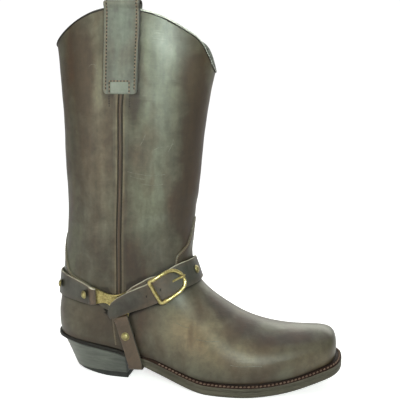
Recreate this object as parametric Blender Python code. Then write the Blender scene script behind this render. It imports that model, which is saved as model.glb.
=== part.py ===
"""Western harness boot, right foot, standing empty on its heel and ball.

Every piece is worked out from the sizes and the short section tables below, in millimetres, in the
last's own axes: x runs from the back of the heel to the toe, y is zero over the middle of the heel
with the outer (lateral) side negative, z is height above the floor.  The finished assembly is then
set over the middle of its own footprint and scaled to metres.
"""

import math

import bpy
import numpy as np
from mathutils import Vector
from mathutils.bvhtree import BVHTree

MM = 0.001

# ---------------------------------------------------------------- driving sizes (mm)
GAP = 0.3               # clearance between pieces that touch
WALL = 2.6              # leather and lining of the upper together
WELT_T = 3.2            # welt thickness, thinning out at the heel breast
SOLE_T = 6.2            # outsole thickness at the edge
SEAT_T = 4.6            # ... and under the heel seat, where there is no welt
WELT_END_X = 92.0       # both ends of the welt
INSOLE_RISE = 3.0       # top of the insole above the feather line
LEDGE_TOE = 9.8         # welt ledge outside the feather line round the toe
LEDGE_FORE = 6.4        # ... along the forefoot
LEDGE_WAIST = 4.6       # ... along the waist
LEDGE_HEEL = 2.7        # ... round the heel seat
LEDGE_BACK = 5.3        # ... and at the very back, where the seat ends in a lip
TUCK = 0.075            # share of the half width that turns in at the feather line
TUCK_H = 19.0           # height over which it turns in
HEEL_BREAST_X = 82.0    # front face of the heel
LIFT_T = 6.0            # rubber top lift under the heel
HEEL_BASE_BACK_X = 19.5     # underslung: back of the heel base
HEEL_BASE_HALF_W = 24.6     # half width of the heel base at the breast
HEEL_BEVEL = (62.0, 4.6)    # the lift's tread rises towards the back: from this x, by this much
HEEL_INSET = 0.8            # heel inside the outsole's edge at the sides
HEEL_INSET_BACK = 5.6       # ... and at the back
STRAP_T = 2.0           # harness leather
STRAP_GAP = 0.55        # clearance of a strap's inner face to what it lies on
PLATE_T = 2.0           # brass link plate
STUD_R, STUD_H = 4.5, 2.6   # dome studs
PULL_T = 1.6            # pull strap leather
PULL_TOP_X = (62.0, 98.8)      # pull strap edges at the collar
PULL_LOW_X = (60.8, 96.6)       # ... and at its lower end
PULL_LOW_Z = 303.0      # lower end of the pull strap outside
PULL_IN_Z = 338.0       # lower end of the pull strap inside
PULL_RISE = 7.3         # top of the loop above the collar
PULL_BOW = 5.4          # how far the loop stands off the collar on each side

# Side profile, one row for each ring of the upper from the feather line to the collar:
# back point, front point, roundness (radius, power) of the front and radius of the back.
LEVEL_COLUMNS = ("name", "back_x", "back_z", "front_x", "front_z", "front_r", "front_p", "back_r")
LEVELS = (
    ("feather", 2.0, 45.1, 299.6, 30.6, 11, 3.0, 31),
    ("toe wall", 0.5, 53.0, 300.6, 40.5, 11, 3.0, 32),
    ("toe edge", 0.0, 60.0, 298.8, 52.4, 13, 2.7, 33),
    ("toe top", 0.0, 67.0, 291.0, 57.4, 17, 2.4, 33),
    ("toe box", 0.5, 74.0, 266.0, 58.4, 23, 2.2, 34),
    ("vamp", 1.6, 83.0, 236.0, 61.2, 33, 2.1, 36),
    ("low instep", 2.8, 94.0, 207.5, 69.2, 43, 2.0, 39),
    ("instep", 3.9, 107.0, 184.8, 81.2, 50, 2.0, 44),
    ("high instep", 5.2, 122.0, 164.2, 95.8, 56, 2.0, 52),
    ("throat", 7.2, 138.0, 148.8, 114.5, 62, 2.0, 60),
    ("ankle", 9.2, 157.0, 143.4, 140.0, 68, 2.0, 66),
    ("low shaft", 9.7, 184.0, 145.4, 171.0, 71, 2.0, 70),
    ("shaft", 8.4, 217.0, 150.0, 213.0, 74, 2.0, 74),
    ("calf", 6.2, 258.0, 154.4, 262.0, 78, 2.0, 78),
    ("high calf", 3.6, 306.0, 159.4, 303.0, 82, 2.0, 82),
    ("collar", -2.2, 357.5, 165.4, 331.0, 87, 2.0, 87),
)

# Half widths of the upper along the foot, outer side, inner side and the line of the vamp's ridge.
FOOT_COLUMNS = ("name", "x", "outer_y", "inner_y", "ridge_y")
FOOT = (
    ("heel back", -10.0, -30.0, 30.0, 0.0),
    ("heel", 25.0, -31.6, 31.6, 0.0),
    ("seat", 60.0, -33.0, 32.6, 0.0),
    ("waist back", 92.0, -34.4, 32.6, -0.4),
    ("waist", 122.0, -38.6, 35.6, -0.8),
    ("ball back", 155.0, -47.6, 41.6, -0.6),
    ("ball", 188.0, -53.4, 46.4, 0.6),
    ("ball front", 213.0, -51.0, 47.6, 2.4),
    ("toe root", 240.0, -43.0, 46.4, 5.0),
    ("toe side", 266.0, -31.0, 42.6, 8.6),
    ("toe corner", 290.0, -17.0, 38.0, 12.0),
    ("toe end", 312.0, -6.0, 34.0, 14.6),
)

# Half width of the shaft by height.
SHAFT_COLUMNS = ("name", "z", "half_w")
SHAFT = (
    ("heel cup", 60.0, 33.5),
    ("ankle bone", 110.0, 37.0),
    ("ankle", 160.0, 39.5),
    ("shaft", 220.0, 42.5),
    ("calf", 290.0, 45.5),
    ("collar", 390.0, 45.5),
)

# Underside of the outsole along the length: seat, arch, flat tread and toe spring.
TREAD_COLUMNS = ("name", "x", "z")
TREAD = (
    ("seat back", -12.0, 41.2),
    ("seat mid", 20.0, 37.9),
    ("seat", 50.0, 32.8),
    ("breast", 82.0, 26.4),
    ("arch", 102.0, 18.2),
    ("shank", 124.0, 10.6),
    ("tread back", 148.0, 3.8),
    ("ball back", 170.0, 0.0),
    ("ball", 188.0, 0.0),
    ("ball front", 208.0, 0.0),
    ("spring", 238.0, 1.9),
    ("toe rise", 268.0, 7.0),
    ("toe", 294.0, 15.0),
    ("toe end", 314.0, 22.4),
)

# Rise of the collar above the straight line from its back point to its front point.
COLLAR_COLUMNS = ("share", "rise")
COLLAR = (
    (0.0, 0.0),
    (0.10, 14.0),
    (0.22, 28.2),
    (0.36, 39.2),
    (0.50, 43.8),
    (0.62, 44.2),
    (0.75, 40.6),
    (0.88, 32.0),
    (0.96, 18.2),
    (1.0, 0.0),
)

# The ankle harness, going round an upright axis through the ankle: bearing from the back of the
# heel towards the outer side, height of the middle of the strap and its half width.
HARNESS_AXIS = (76.0, 0.0)
HARNESS_COLUMNS = ("bearing", "mid_z", "half_w")
BACK_STRAP_SIDE = ((0.0, 101.0, 12.8), (14.0, 100.6, 12.6), (30.0, 98.6, 11.8), (45.0, 94.4, 10.6), (57.5, 91.8, 8.6))
BACK_STRAP = tuple((-b, z, w) for b, z, w in BACK_STRAP_SIDE[:0:-1]) + BACK_STRAP_SIDE
CHAPE = ((101.0, 89.2, 10.2), (106.0, 91.4, 11.8), (118.0, 97.6, 12.2), (129.0, 103.2, 12.0), (136.0, 106.2, 10.6), (143.0, 108.8, 9.4))
FRONT_STRAP = (
    (78.6, 77.6, 4.6),
    (79.8, 78.4, 7.2),
    (82.2, 79.6, 9.0),
    (86.0, 81.2, 10.2),
    (90.5, 83.2, 10.7),
    (96.0, 85.9, 10.9),
    (104.0, 89.3, 11.6),
    (117.0, 94.8, 12.3),
    (131.0, 101.2, 12.9),
    (145.0, 109.8, 13.2),
    (158.0, 116.6, 13.2),
    (169.0, 119.8, 12.8),
    (179.0, 121.0, 12.4),
    (191.0, 119.2, 12.2),
    (202.0, 114.8, 12.2),
    (215.0, 107.8, 12.2),
    (229.0, 100.6, 12.2),
    (242.0, 95.0, 11.4),
    (250.0, 92.0, 10.0),
)
FRONT_TIP = (0.0, 0.7, 1.8, 3.4, 5.6)     # bearings past the free tip where its round end is cut
# Link plate: corners of its three arms, as x and z on the side of the boot, with the pull-in of
# the hollow edge that follows each corner.
PLATE_COLUMNS = ("x", "z", "hollow")
PLATE = (
    (45.4, 101.6, 9.6),
    (95.6, 107.0, 0.0),
    (104.4, 91.4, 6.0),
    (88.0, 70.4, 0.0),
    (71.6, 69.6, 8.8),
    (46.0, 83.4, 0.0),
)
PLATE_MID = (75.0, 88.0)
# Under strap: middle line from the plates to the sole.
UNDER_TOP = (76.4, 73.6)        # x and z of its upper end
UNDER_LOW_X = 93.4              # x where it crosses the sole
UNDER_HALF_W = 7.7
# Dome studs: bearings on the back and front straps, height on the under strap.
BACK_STUDS = (-47.5, 19.0, 47.5)
FRONT_STUDS = (171.5,)
UNDER_STUD_Z = 52.2
# Buckle: bearing of its middle, half length along the strap, half height across it.
BUCKLE_MID = 143.6
BUCKLE_HALF_L = 16.8
BUCKLE_HALF_H = 14.0
BUCKLE_WIRE_R = 1.95
PRONG_R = 1.1
PRONG_FROM, PRONG_TO = 4.4, 17.6    # along the strap from the buckle's middle

# mesh density
UPPER_COLUMNS_PER_SIDE = 26
UPPER_ROWS = (0.0, 0.018, 0.04, 0.065, 0.09, 0.115, 0.14, 0.17, 0.20, 0.235, 0.27, 0.305, 0.34, 0.375, 0.41, 0.445, 0.48, 0.53, 0.59, 0.66, 0.74, 0.82, 0.90, 0.955, 1.0)


# ---------------------------------------------------------------- small maths
def column(table, names, name):
    return np.array([row[names.index(name)] for row in table], float)


def spline(knots, values):
    """Natural cubic curve through the knots."""
    x, y = np.asarray(knots, float), np.asarray(values, float)
    n, h = len(x), np.diff(x)
    a, r = np.eye(n), np.zeros(n)
    for i in range(1, n - 1):
        a[i, i - 1 : i + 2] = h[i - 1], 2 * (h[i - 1] + h[i]), h[i]
        r[i] = 3 * ((y[i + 1] - y[i]) / h[i] - (y[i] - y[i - 1]) / h[i - 1])
    c = np.linalg.solve(a, r)

    def at(q):
        q = np.clip(np.asarray(q, float), x[0], x[-1])
        i = np.clip(np.searchsorted(x, q) - 1, 0, n - 2)
        d = q - x[i]
        b = (y[i + 1] - y[i]) / h[i] - h[i] * (2 * c[i] + c[i + 1]) / 3
        return y[i] + b * d + c[i] * d**2 + (c[i + 1] - c[i]) / (3 * h[i]) * d**3

    return at


def smooth(lo, hi, q):
    t = np.clip((np.asarray(q, float) - lo) / (hi - lo), 0, 1)
    return t * t * (3 - 2 * t)


def cap(t, p):
    """Quarter of a superellipse: 0 at the edge, 1 from t = 1 on."""
    return (1 - (1 - np.clip(t, 0, 1)) ** p) ** (1 / p)


# ---------------------------------------------------------------- the last
class Last:
    """Shape of the upper: side profile, half breadth at any point of it, and rings round it."""

    SOFT = 6.0  # how sharply the nearest part of the profile counts

    def __init__(self):
        cols = {n: column(LEVELS, LEVEL_COLUMNS, n) for n in LEVEL_COLUMNS[1:]}
        step = (np.hypot(np.diff(cols["back_x"]), np.diff(cols["back_z"])) + np.hypot(np.diff(cols["front_x"]), np.diff(cols["front_z"]))) / 2
        t = np.concatenate([[0], np.cumsum(step)])
        self.level = t / t[-1]
        self.at = {n: spline(self.level, v) for n, v in cols.items()}
        self.outer = spline(column(FOOT, FOOT_COLUMNS, "x"), column(FOOT, FOOT_COLUMNS, "outer_y"))
        self.inner = spline(column(FOOT, FOOT_COLUMNS, "x"), column(FOOT, FOOT_COLUMNS, "inner_y"))
        self.ridge = spline(column(FOOT, FOOT_COLUMNS, "x"), column(FOOT, FOOT_COLUMNS, "ridge_y"))
        self.shaft = spline(column(SHAFT, SHAFT_COLUMNS, "z"), column(SHAFT, SHAFT_COLUMNS, "half_w"))
        self.tread_raw = spline(column(TREAD, TREAD_COLUMNS, "x"), column(TREAD, TREAD_COLUMNS, "z"))
        self.collar_rise = spline(column(COLLAR, COLLAR_COLUMNS, "share"), column(COLLAR, COLLAR_COLUMNS, "rise"))
        self.back_edge = self._edge("back", -1)
        self.front_edge = self._edge("front", +1)

    def tread(self, x):
        """Underside of the outsole; flat at the ball."""
        return np.maximum(self.tread_raw(x), 0.0)

    def sole_top(self, x):
        return self.tread(x) + SEAT_T + (SOLE_T - SEAT_T) * smooth(80, 106, x)

    def welt_t(self, x):
        return WELT_T * smooth(82, 114, x)

    def feather(self, x):
        """Where the upper meets the welt."""
        return self.sole_top(x) + GAP + self.welt_t(x) + GAP * smooth(82, 96, x)

    def _edge(self, which, _):
        t = np.linspace(0, 1, 620)
        x, z = self.at[which + "_x"](t), self.at[which + "_z"](t)
        r = self.at[which + "_r"](t)
        p = self.at["front_p"](t) if which == "front" else np.full_like(t, 2.0)
        e = np.linspace(60, 1, 60)
        lead = (x[0] + 0 * e, z[0] - e, r[0] + 0 * e, p[0] + 0 * e)
        tail = (x[-1] + 0 * e, z[-1] + e[::-1], r[-1] + 0 * e, p[-1] + 0 * e)
        x, z, r, p = (np.concatenate(v) for v in zip(lead, (x, z, r, p), tail))
        ds = np.gradient(np.concatenate([[0], np.cumsum(np.hypot(np.diff(x), np.diff(z)))]))
        return x, z, r, p, ds

    def _soft(self, edge, x, z):
        """Distance to a profile edge that stays smooth inside corners, with the edge's roundness there."""
        ex, ez, er, ep, ds = edge
        k = self.SOFT
        unit = math.sqrt(math.pi) * math.gamma((k - 1) / 2) / math.gamma(k / 2)
        out = np.empty((3, len(x)))
        for i in range(0, len(x), 4000):
            d = np.hypot(x[i : i + 4000, None] - ex, z[i : i + 4000, None] - ez)
            w = np.maximum(d, 1e-3) ** -k * ds
            total = w.sum(1)
            soft = (total / unit) ** (-1 / (k - 1))
            j = d.argmin(1)
            a, b = np.clip(j - 1, 0, len(ex) - 1), np.clip(j + 1, 0, len(ex) - 1)
            tx, tz = ex[b] - ex[a], ez[b] - ez[a]
            true = np.abs((x[i : i + 4000] - ex[j]) * tz - (z[i : i + 4000] - ez[j]) * tx) / np.hypot(tx, tz)
            true = np.minimum(true, d.min(1))
            near = smooth(0.8, 3.6, true)
            out[0, i : i + 4000] = true + (soft - true) * near
            out[1, i : i + 4000] = (w * er).sum(1) / total
            out[2, i : i + 4000] = (w * ep).sum(1) / total
        return out

    def breadth(self, x, z):
        """(outer y, inner y) of the upper's outside at points x, z of the side profile."""
        x, z = np.broadcast_arrays(np.asarray(x, float), np.asarray(z, float))
        shape, x, z = x.shape, x.ravel(), z.ravel()
        df, rf, pf = self._soft(self.front_edge, x, z)
        db, rb, pb = self._soft(self.back_edge, x, z)
        high = smooth(66, 158, z)
        half = self.shaft(z)
        mid = self.ridge(x) * (1 - high)
        tuck = 1 - TUCK * (1 - np.clip((z - self.feather(x)) / TUCK_H, 0, 1)) ** 2
        back = cap(db / rb, pb)
        fore = 1 - smooth(110, 170, z)
        outer = (mid - (self.outer(x) * (1 - high) - half * high)) * tuck * back * cap(df / (rf * (1 + 0.10 * fore)), pf)
        inner = ((self.inner(x) * (1 - high) + half * high) - mid) * tuck * back * cap(df / (rf * (1 - 0.08 * fore)), pf)
        return (mid - outer).reshape(shape), (mid + inner).reshape(shape)

    def row(self, t, s):
        """Side-profile points of the ring at level t; s runs from the back to the front."""
        bx, bz, fx, fz = (float(self.at[n](t)) for n in ("back_x", "back_z", "front_x", "front_z"))
        b0, f0 = float(self.at["back_x"](0)), float(self.at["front_x"](0))
        x = bx + (fx - bx) * s
        z = bz + (fz - bz) * s
        ends = self.feather(b0) + (self.feather(f0) - self.feather(b0)) * s
        low = max(0.0, 1 - t / 0.42) ** 1.6
        top = smooth(0.62, 1.0, t) ** 1.5
        return x, z + low * (self.feather(b0 + (f0 - b0) * s) - ends) + top * self.collar_rise(s)

    def ring(self, t, per_side):
        """Points round the upper at level t: back, outer side to the toe, inner side to the back."""
        u = np.linspace(0, 1, 500)
        s = u**2 * (3 - 2 * u)
        s = 0.35 * s + 0.65 * (1 - np.cos(np.pi * u)) / 2
        x, z = self.row(t, s)
        x[0], x[-1] = float(self.at["back_x"](t)), float(self.at["front_x"](t))
        outer, inner = self.breadth(x, z)
        high = smooth(66, 158, z)
        mid = self.ridge(x) * (1 - high)
        sides = []
        for y in (outer, inner):
            y = y.copy()
            y[0], y[-1] = mid[0], mid[-1]
            p = np.stack([x, y, z], 1)
            seg = np.linalg.norm(np.diff(p, axis=0), axis=1)
            tan = np.diff(p, axis=0) / np.maximum(seg, 1e-9)[:, None]
            turn = np.linalg.norm(np.diff(tan, axis=0), axis=1) / np.maximum((seg[1:] + seg[:-1]) / 2, 1e-6)
            turn = np.convolve(np.pad(np.clip(np.concatenate([turn[:1], turn]), 0, 0.2), 6, mode="edge"), np.ones(13) / 13, "valid")
            weight = seg * np.sqrt(1 + (26 * turn) ** 2)
            c = np.concatenate([[0], np.cumsum(weight)])
            q = np.linspace(0, c[-1], per_side + 1)
            sides.append(np.stack([np.interp(q, c, p[:, i]) for i in range(3)], 1))
        return np.concatenate([sides[0], sides[1][-2:0:-1]])

    def rings(self, levels, per_side):
        return np.array([self.ring(t, per_side) for t in levels])

    @staticmethod
    def normals(grid):
        """Outward normals of a grid of rings, closed round each ring."""
        du = np.roll(grid, -1, 1) - np.roll(grid, 1, 1)
        dv = np.gradient(grid, axis=0)
        n = np.cross(du, dv)
        return n / np.maximum(np.linalg.norm(n, axis=2, keepdims=True), 1e-9)


LAST = Last()


# ---------------------------------------------------------------- mesh helpers
PIECES = []
TREES = {}


def material(name, rgb, rough, metal=0.0):
    m = bpy.data.materials.get(name) or bpy.data.materials.new(name)
    m.use_nodes = True
    shader = m.node_tree.nodes["Principled BSDF"]
    shader.inputs["Base Color"].default_value = (*rgb, 1)
    shader.inputs["Roughness"].default_value = rough
    shader.inputs["Metallic"].default_value = metal
    return m


LEATHER = material("upper leather", (0.105, 0.088, 0.066), 0.55)
STRAP_LEATHER = material("strap leather", (0.082, 0.068, 0.052), 0.55)
INSOLE_LEATHER = material("insole leather", (0.34, 0.24, 0.15), 0.8)
WELT_LEATHER = material("welt leather", (0.045, 0.028, 0.021), 0.6)
SOLE_EDGE = material("sole edge", (0.085, 0.074, 0.060), 0.6)
HEEL_STACK = material("heel stack", (0.085, 0.078, 0.066), 0.55)
RUBBER = material("top lift rubber", (0.045, 0.047, 0.045), 0.7)
BRASS = material("antique brass", (0.46, 0.36, 0.15), 0.35, 1.0)


def solid(name, points, faces, mat):
    """One named object from points in millimetres and faces; quads are split the same way every time."""
    tris = []
    for f in faces:
        tris.extend((f[0], f[i], f[i + 1]) for i in range(1, len(f) - 1))
    pts = np.asarray(points, float)
    tris = np.asarray(tris, int)
    if np.linalg.det(pts[tris] - pts.mean(0)).sum() < 0:
        tris = tris[:, ::-1]
    mesh = bpy.data.meshes.new(name)
    mesh.from_pydata((pts * MM).tolist(), [], tris.tolist())
    mesh.validate()
    mesh.shade_smooth()
    mesh.set_sharp_from_angle(angle=math.radians(38))
    mesh.materials.append(mat)
    obj = bpy.data.objects.new(name, mesh)
    bpy.context.scene.collection.objects.link(obj)
    PIECES.append(obj)
    TREES[name] = (pts, tris)
    return obj


def tree_of(names):
    """One search tree over the named pieces, in millimetres."""
    pts, tris, base = [], [], 0
    for n in names:
        p, t = TREES[n]
        pts.extend(p.tolist())
        tris.extend((t + base).tolist())
        base += len(p)
    return BVHTree.FromPolygons([Vector(p) for p in pts], tris, all_triangles=True)


def tube_faces(rings, around, closed_along=False):
    """Quads between successive rings of `around` points, with end caps on an open run."""
    faces = []
    for i in range(rings if closed_along else rings - 1):
        a, b = i * around, ((i + 1) % rings) * around
        for j in range(around):
            k = (j + 1) % around
            faces.append((a + j, a + k, b + k, b + j))
    if not closed_along:
        faces.append(tuple(range(around))[::-1])
        last = (rings - 1) * around
        faces.append(tuple(range(last, last + around)))
    return faces


# ---------------------------------------------------------------- upper
def build_upper():
    # the last is the inside of the leather; the wall stands outside it
    inner = LAST.rings(UPPER_ROWS, UPPER_COLUMNS_PER_SIDE)
    outer = inner + Last.normals(inner) * WALL
    outer[0, :, 2] = inner[0, :, 2]
    outer[-1, :, 2] = inner[-1, :, 2]
    rows, cols = outer.shape[:2]
    points = np.concatenate([outer.reshape(-1, 3), inner.reshape(-1, 3)])
    o, i = 0, rows * cols
    faces = []
    for r in range(rows - 1):
        for c in range(cols):
            d = (c + 1) % cols
            a, b, e, f = r * cols + c, r * cols + d, (r + 1) * cols + d, (r + 1) * cols + c
            faces.append((o + a, o + b, o + e, o + f))
            faces.append((i + b, i + a, i + f, i + e))
    for c in range(cols):
        d = (c + 1) % cols
        top = (rows - 1) * cols
        faces.append((o + top + c, o + top + d, i + top + d, i + top + c))
        faces.append((o + d, o + c, i + c, i + d))
    solid("upper", points, faces, LEATHER)
    return outer, inner


# ---------------------------------------------------------------- bottom
def outline(offset, count=64):
    """Outline of the feather line moved out by offset(x): stations with outer and inner y at the same x."""
    ring = LAST.ring(0.0, 220)
    centre = np.roll(ring, -1, 0) - np.roll(ring, 1, 0)
    n = np.stack([centre[:, 1], -centre[:, 0]], 1)
    n /= np.linalg.norm(n, axis=1, keepdims=True)
    if (n * (ring[:, :2] - ring[:, :2].mean(0))).sum() < 0:
        n = -n
    loop = ring[:, :2] + n * np.asarray(offset(ring[:, 0]))[:, None]
    back, front = loop[:, 0].argmin(), loop[:, 0].argmax()
    loop = np.roll(loop, -back, 0)
    front = (front - back) % len(loop)
    sides = loop[: front + 1], np.concatenate([loop[front:], loop[:1]])[::-1]
    if sides[0][:, 1].mean() > sides[1][:, 1].mean():
        sides = sides[::-1]
    x0, x1 = loop[0, 0], loop[front, 0]
    u = np.linspace(0, 1, count)
    x = x0 + (x1 - x0) * (0.30 * u + 0.70 * (1 - np.cos(np.pi * u)) / 2)
    ys = []
    for side in sides:
        order = np.maximum.accumulate(side[:, 0]) + np.arange(len(side)) * 1e-7
        ys.append(np.interp(x, order, side[:, 1]))
    ys[0][0] = ys[1][0] = (ys[0][0] + ys[1][0]) / 2
    return x, ys[0], ys[1]


def ledge(x):
    fore = smooth(118, 178, x)
    toe = smooth(262, 300, x)
    rear = 1 - smooth(66, 96, x)
    back = 1 - smooth(2, 22, x)
    return LEDGE_WAIST + (LEDGE_FORE - LEDGE_WAIST) * fore + (LEDGE_TOE - LEDGE_FORE) * toe + (LEDGE_HEEL - LEDGE_WAIST) * rear + (LEDGE_BACK - LEDGE_HEEL) * back


def plate_solid(name, x, y0, y1, z_low, z_high, mat):
    """Sheet with the given outline between two heights that follow x."""
    n = len(x)
    lo, hi = z_low(x), z_high(x)
    pts = np.concatenate([np.stack([x, y, z], 1) for y, z in ((y0, lo), (y1, lo), (y1, hi), (y0, hi))])
    faces = []
    for i in range(n - 1):
        a = [k * n + i for k in range(4)]
        b = [k * n + i + 1 for k in range(4)]
        for k in range(4):
            m = (k + 1) % 4
            faces.append((a[k], a[m], b[m], b[k]))
    faces.append((3 * n, 2 * n, n, 0))
    faces.append((n - 1, 2 * n - 1, 3 * n - 1, 4 * n - 1))
    return pts, faces


def build_bottom():
    # outsole: two rings, top and bottom, with a narrow bevel at the tread edge
    x, a, b = outline(ledge, 60)
    a[0], b[0] = a[0] - 7.0, b[0] + 7.0
    a[-1], b[-1] = LAST.ring(0.0, 60)[60, 1] - 16.0, LAST.ring(0.0, 60)[60, 1] + 14.0
    pts, faces = plate_solid("outsole", x, a, b, LAST.tread, LAST.sole_top, SOLE_EDGE)
    solid("outsole", pts, faces, SOLE_EDGE)

    # insole: lies inside the upper and fills the welt's ring down to the outsole
    x, a, b = outline(lambda q: 0 * q - WALL - 2 * GAP - 0.5, 50)
    a[0], b[0] = a[0] - 4.0, b[0] + 4.0
    a[-1], b[-1] = a[-2] + 6.0, b[-2] - 6.0
    pts, faces = plate_solid("insole", x, a, b, lambda q: LAST.sole_top(q) + GAP, lambda q: LAST.feather(q) + INSOLE_RISE, INSOLE_LEATHER)
    solid("insole", pts, faces, INSOLE_LEATHER)

    # welt: a strip from one side of the heel breast round the toe to the other, under the upper's wall
    ring = LAST.ring(0.0, 60)
    d = np.roll(ring, -1, 0) - np.roll(ring, 1, 0)
    n = np.stack([d[:, 1], -d[:, 0]], 1)
    n /= np.linalg.norm(n, axis=1, keepdims=True)
    if (n * (ring[:, :2] - ring[:, :2].mean(0))).sum() < 0:
        n = -n
    run = np.where(ring[:, 0] > WELT_END_X)[0]
    sections = []
    for k in run:
        o = ring[k, :2] + n[k] * ledge(ring[k, 0])
        i = ring[k, :2] - n[k] * (WALL + 0.35)
        sections.append([(*p, LAST.sole_top(p[0]) + GAP + h * LAST.welt_t(p[0])) for p, h in ((o, 0), (o, 1), (i, 1), (i, 0))])
    solid("welt", np.array(sections).reshape(-1, 3), tube_faces(len(sections), 4), WELT_LEATHER)


# ---------------------------------------------------------------- heel
def heel_outline(share, count=33):
    """Heel outline, outer breast corner round the back to the inner one; share 0 at the seat, 1 at the floor."""
    x, a, b = outline(lambda q: ledge(q) - HEEL_INSET, 160)
    x = x + (HEEL_INSET_BACK - HEEL_INSET) * (1 - smooth(x[0], x[0] + 40, x))
    seat = np.concatenate([np.stack([x, a], 1)[::-1], np.stack([x, b], 1)[1:]])
    bearing = np.arctan2(seat[:, 1], HEEL_BREAST_X - seat[:, 0])
    far = np.hypot(seat[:, 1], HEEL_BREAST_X - seat[:, 0])
    behind = seat[:, 0] <= HEEL_BREAST_X + 1
    u = np.linspace(-1, 1, count)
    th = (0.55 * u + 0.45 * u**3) * math.pi / 2
    r_seat = np.interp(th, bearing[behind], far[behind])
    long, half = HEEL_BREAST_X - HEEL_BASE_BACK_X, HEEL_BASE_HALF_W
    r_base = ((np.cos(th) / long) ** 2.2 + (np.abs(np.sin(th)) / half) ** 2.2) ** (-1 / 2.2)
    r = r_seat + (r_base - r_seat) * share
    return np.stack([HEEL_BREAST_X - r * np.cos(th), r * np.sin(th)], 1)


def build_heel():
    levels = (0.0, 0.25, 0.55, 1.0)
    split = 0.84  # share of the taper above the top lift
    base = LIFT_T + GAP
    rings = []
    for s in levels:
        o = heel_outline(split * s**0.95)
        top = LAST.tread(o[:, 0]) - GAP
        rings.append(np.column_stack([o, top + (base - top) * s]))
    n = len(rings[0])
    solid("heel_stack", np.concatenate(rings), tube_faces(len(levels), n), HEEL_STACK)
    rings = []
    for s, z in ((split, LIFT_T), (1.0, 0.0)):
        o = heel_outline(s)
        rise = HEEL_BEVEL[1] * np.clip((HEEL_BEVEL[0] - o[:, 0]) / (HEEL_BEVEL[0] - HEEL_BASE_BACK_X), 0, 1) ** 1.4
        rings.append(np.column_stack([o, np.full(n, z) + (rise if z == 0 else 0)]))
    # the tread is flat from the breast to the bevel: strips between opposite points keep it so
    pts = np.concatenate(rings)
    faces = [(j, j + 1, n + j + 1, n + j) for j in range(n - 1)] + [(n - 1, 0, n, 2 * n - 1)]
    for k, turn in ((0, -1), (n, 1)):
        for j in range(n // 2):
            f = (k + j, k + j + 1, k + n - 2 - j, k + n - 1 - j)
            faces.append((f if j + 1 < n - 2 - j else (f[0], f[1], f[3]))[::turn])
    solid("heel_top_lift", pts, faces, RUBBER)


# ---------------------------------------------------------------- harness
def bearing_dir(deg):
    """Level direction of a bearing: 0 points back, 90 to the outer side, 180 to the toe."""
    a = math.radians(deg)
    return np.array([-math.cos(a), -math.sin(a), 0.0])


def bearing_of(p):
    deg = math.degrees(math.atan2(-(p[1] - HARNESS_AXIS[1]), -(p[0] - HARNESS_AXIS[0])))
    return deg


def reach(tree, deg, z):
    """Distance from the harness axis to the outermost surface at that bearing and height."""
    d = bearing_dir(deg)
    start = np.array([*HARNESS_AXIS, z]) + d * 250
    hit = tree.ray_cast(Vector(start), Vector(-d), 240)
    return 250 - hit[3] if hit[0] is not None else 0.0


def band_sections(tree, table, step, round_end=(), gap=STRAP_GAP):
    """Cross sections (middle of the inner face, half width, normal, bearing) of a taut strap on the pieces in tree."""
    deg = np.array([r[0] for r in table])
    mid, half = spline(deg, [r[1] for r in table]), spline(deg, [r[2] for r in table])
    bearings = np.linspace(deg[0], deg[-1], max(2, int(round((deg[-1] - deg[0]) / step)) + 1))
    if round_end:
        bearings = np.concatenate([deg[0] + np.array(round_end), bearings[bearings > deg[0] + round_end[-1] + 0.5 * step]])
    lift = np.linspace(-1.0, 1.0, 11)
    m, h = mid(bearings), half(bearings)
    r = np.array([[max(reach(tree, b + f * step, z) for f in (-0.6, -0.3, 0.0, 0.3, 0.6)) for z in c + lift * (w + 0.7)] for b, c, w in zip(bearings, m, h)])
    dz = lift[None, :] * (h[:, None] + 0.7)
    slope = np.clip((r * dz).sum(1) / (dz * dz).sum(1), -1.5, 0.2)
    for _ in range(6):
        slope[1:-1] = (slope[:-2] + 2 * slope[1:-1] + slope[2:]) / 4
    need = (r - slope[:, None] * dz).max(1) + gap * np.hypot(1, slope)
    d = np.array([bearing_dir(b) for b in bearings])
    for _ in range(400):
        p = d * need[:, None]
        e = p[2:] - p[:-2]
        cross = p[:-2, 0] * e[:, 1] - p[:-2, 1] * e[:, 0]
        chord = cross / (d[1:-1, 0] * e[:, 1] - d[1:-1, 1] * e[:, 0])
        need[1:-1] = np.maximum(need[1:-1], chord)
    if round_end:
        # the free tip runs on straight instead of bending down
        need[: len(round_end)] = np.maximum(need[: len(round_end)], need[len(round_end)] * np.cos(np.radians(bearings[len(round_end)] - 96)) / np.cos(np.radians(bearings[: len(round_end)] - 96)))
    sections = []
    for i in range(len(bearings)):
        up = np.array([0, 0, 1.0]) + d[i] * slope[i]
        up /= np.linalg.norm(up)
        out = d[i] - up * float(d[i] @ up)
        out /= np.linalg.norm(out)
        sections.append((np.array([*HARNESS_AXIS, m[i]]) + d[i] * need[i], up * h[i], out, bearings[i]))
    return sections


def band(name, sections, thickness, mat):
    pts = []
    for c, w, n, _ in sections:
        pts += [c - w, c + w, c + w + n * thickness, c - w + n * thickness]
    solid(name, pts, tube_faces(len(sections), 4), mat)


def on_band(sections, deg):
    """Middle of a strap's outer face at a bearing, its normal and half width."""
    every = [q[3] for q in sections]
    i = int(np.clip(np.searchsorted(every, deg) - 1, 0, len(sections) - 2))
    u = (deg - every[i]) / (every[i + 1] - every[i])
    c, w, n = (a + (b - a) * u for a, b in zip(sections[i][:3], sections[i + 1][:3]))
    n = n / np.linalg.norm(n)
    return c + n * STRAP_T, n, w


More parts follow.
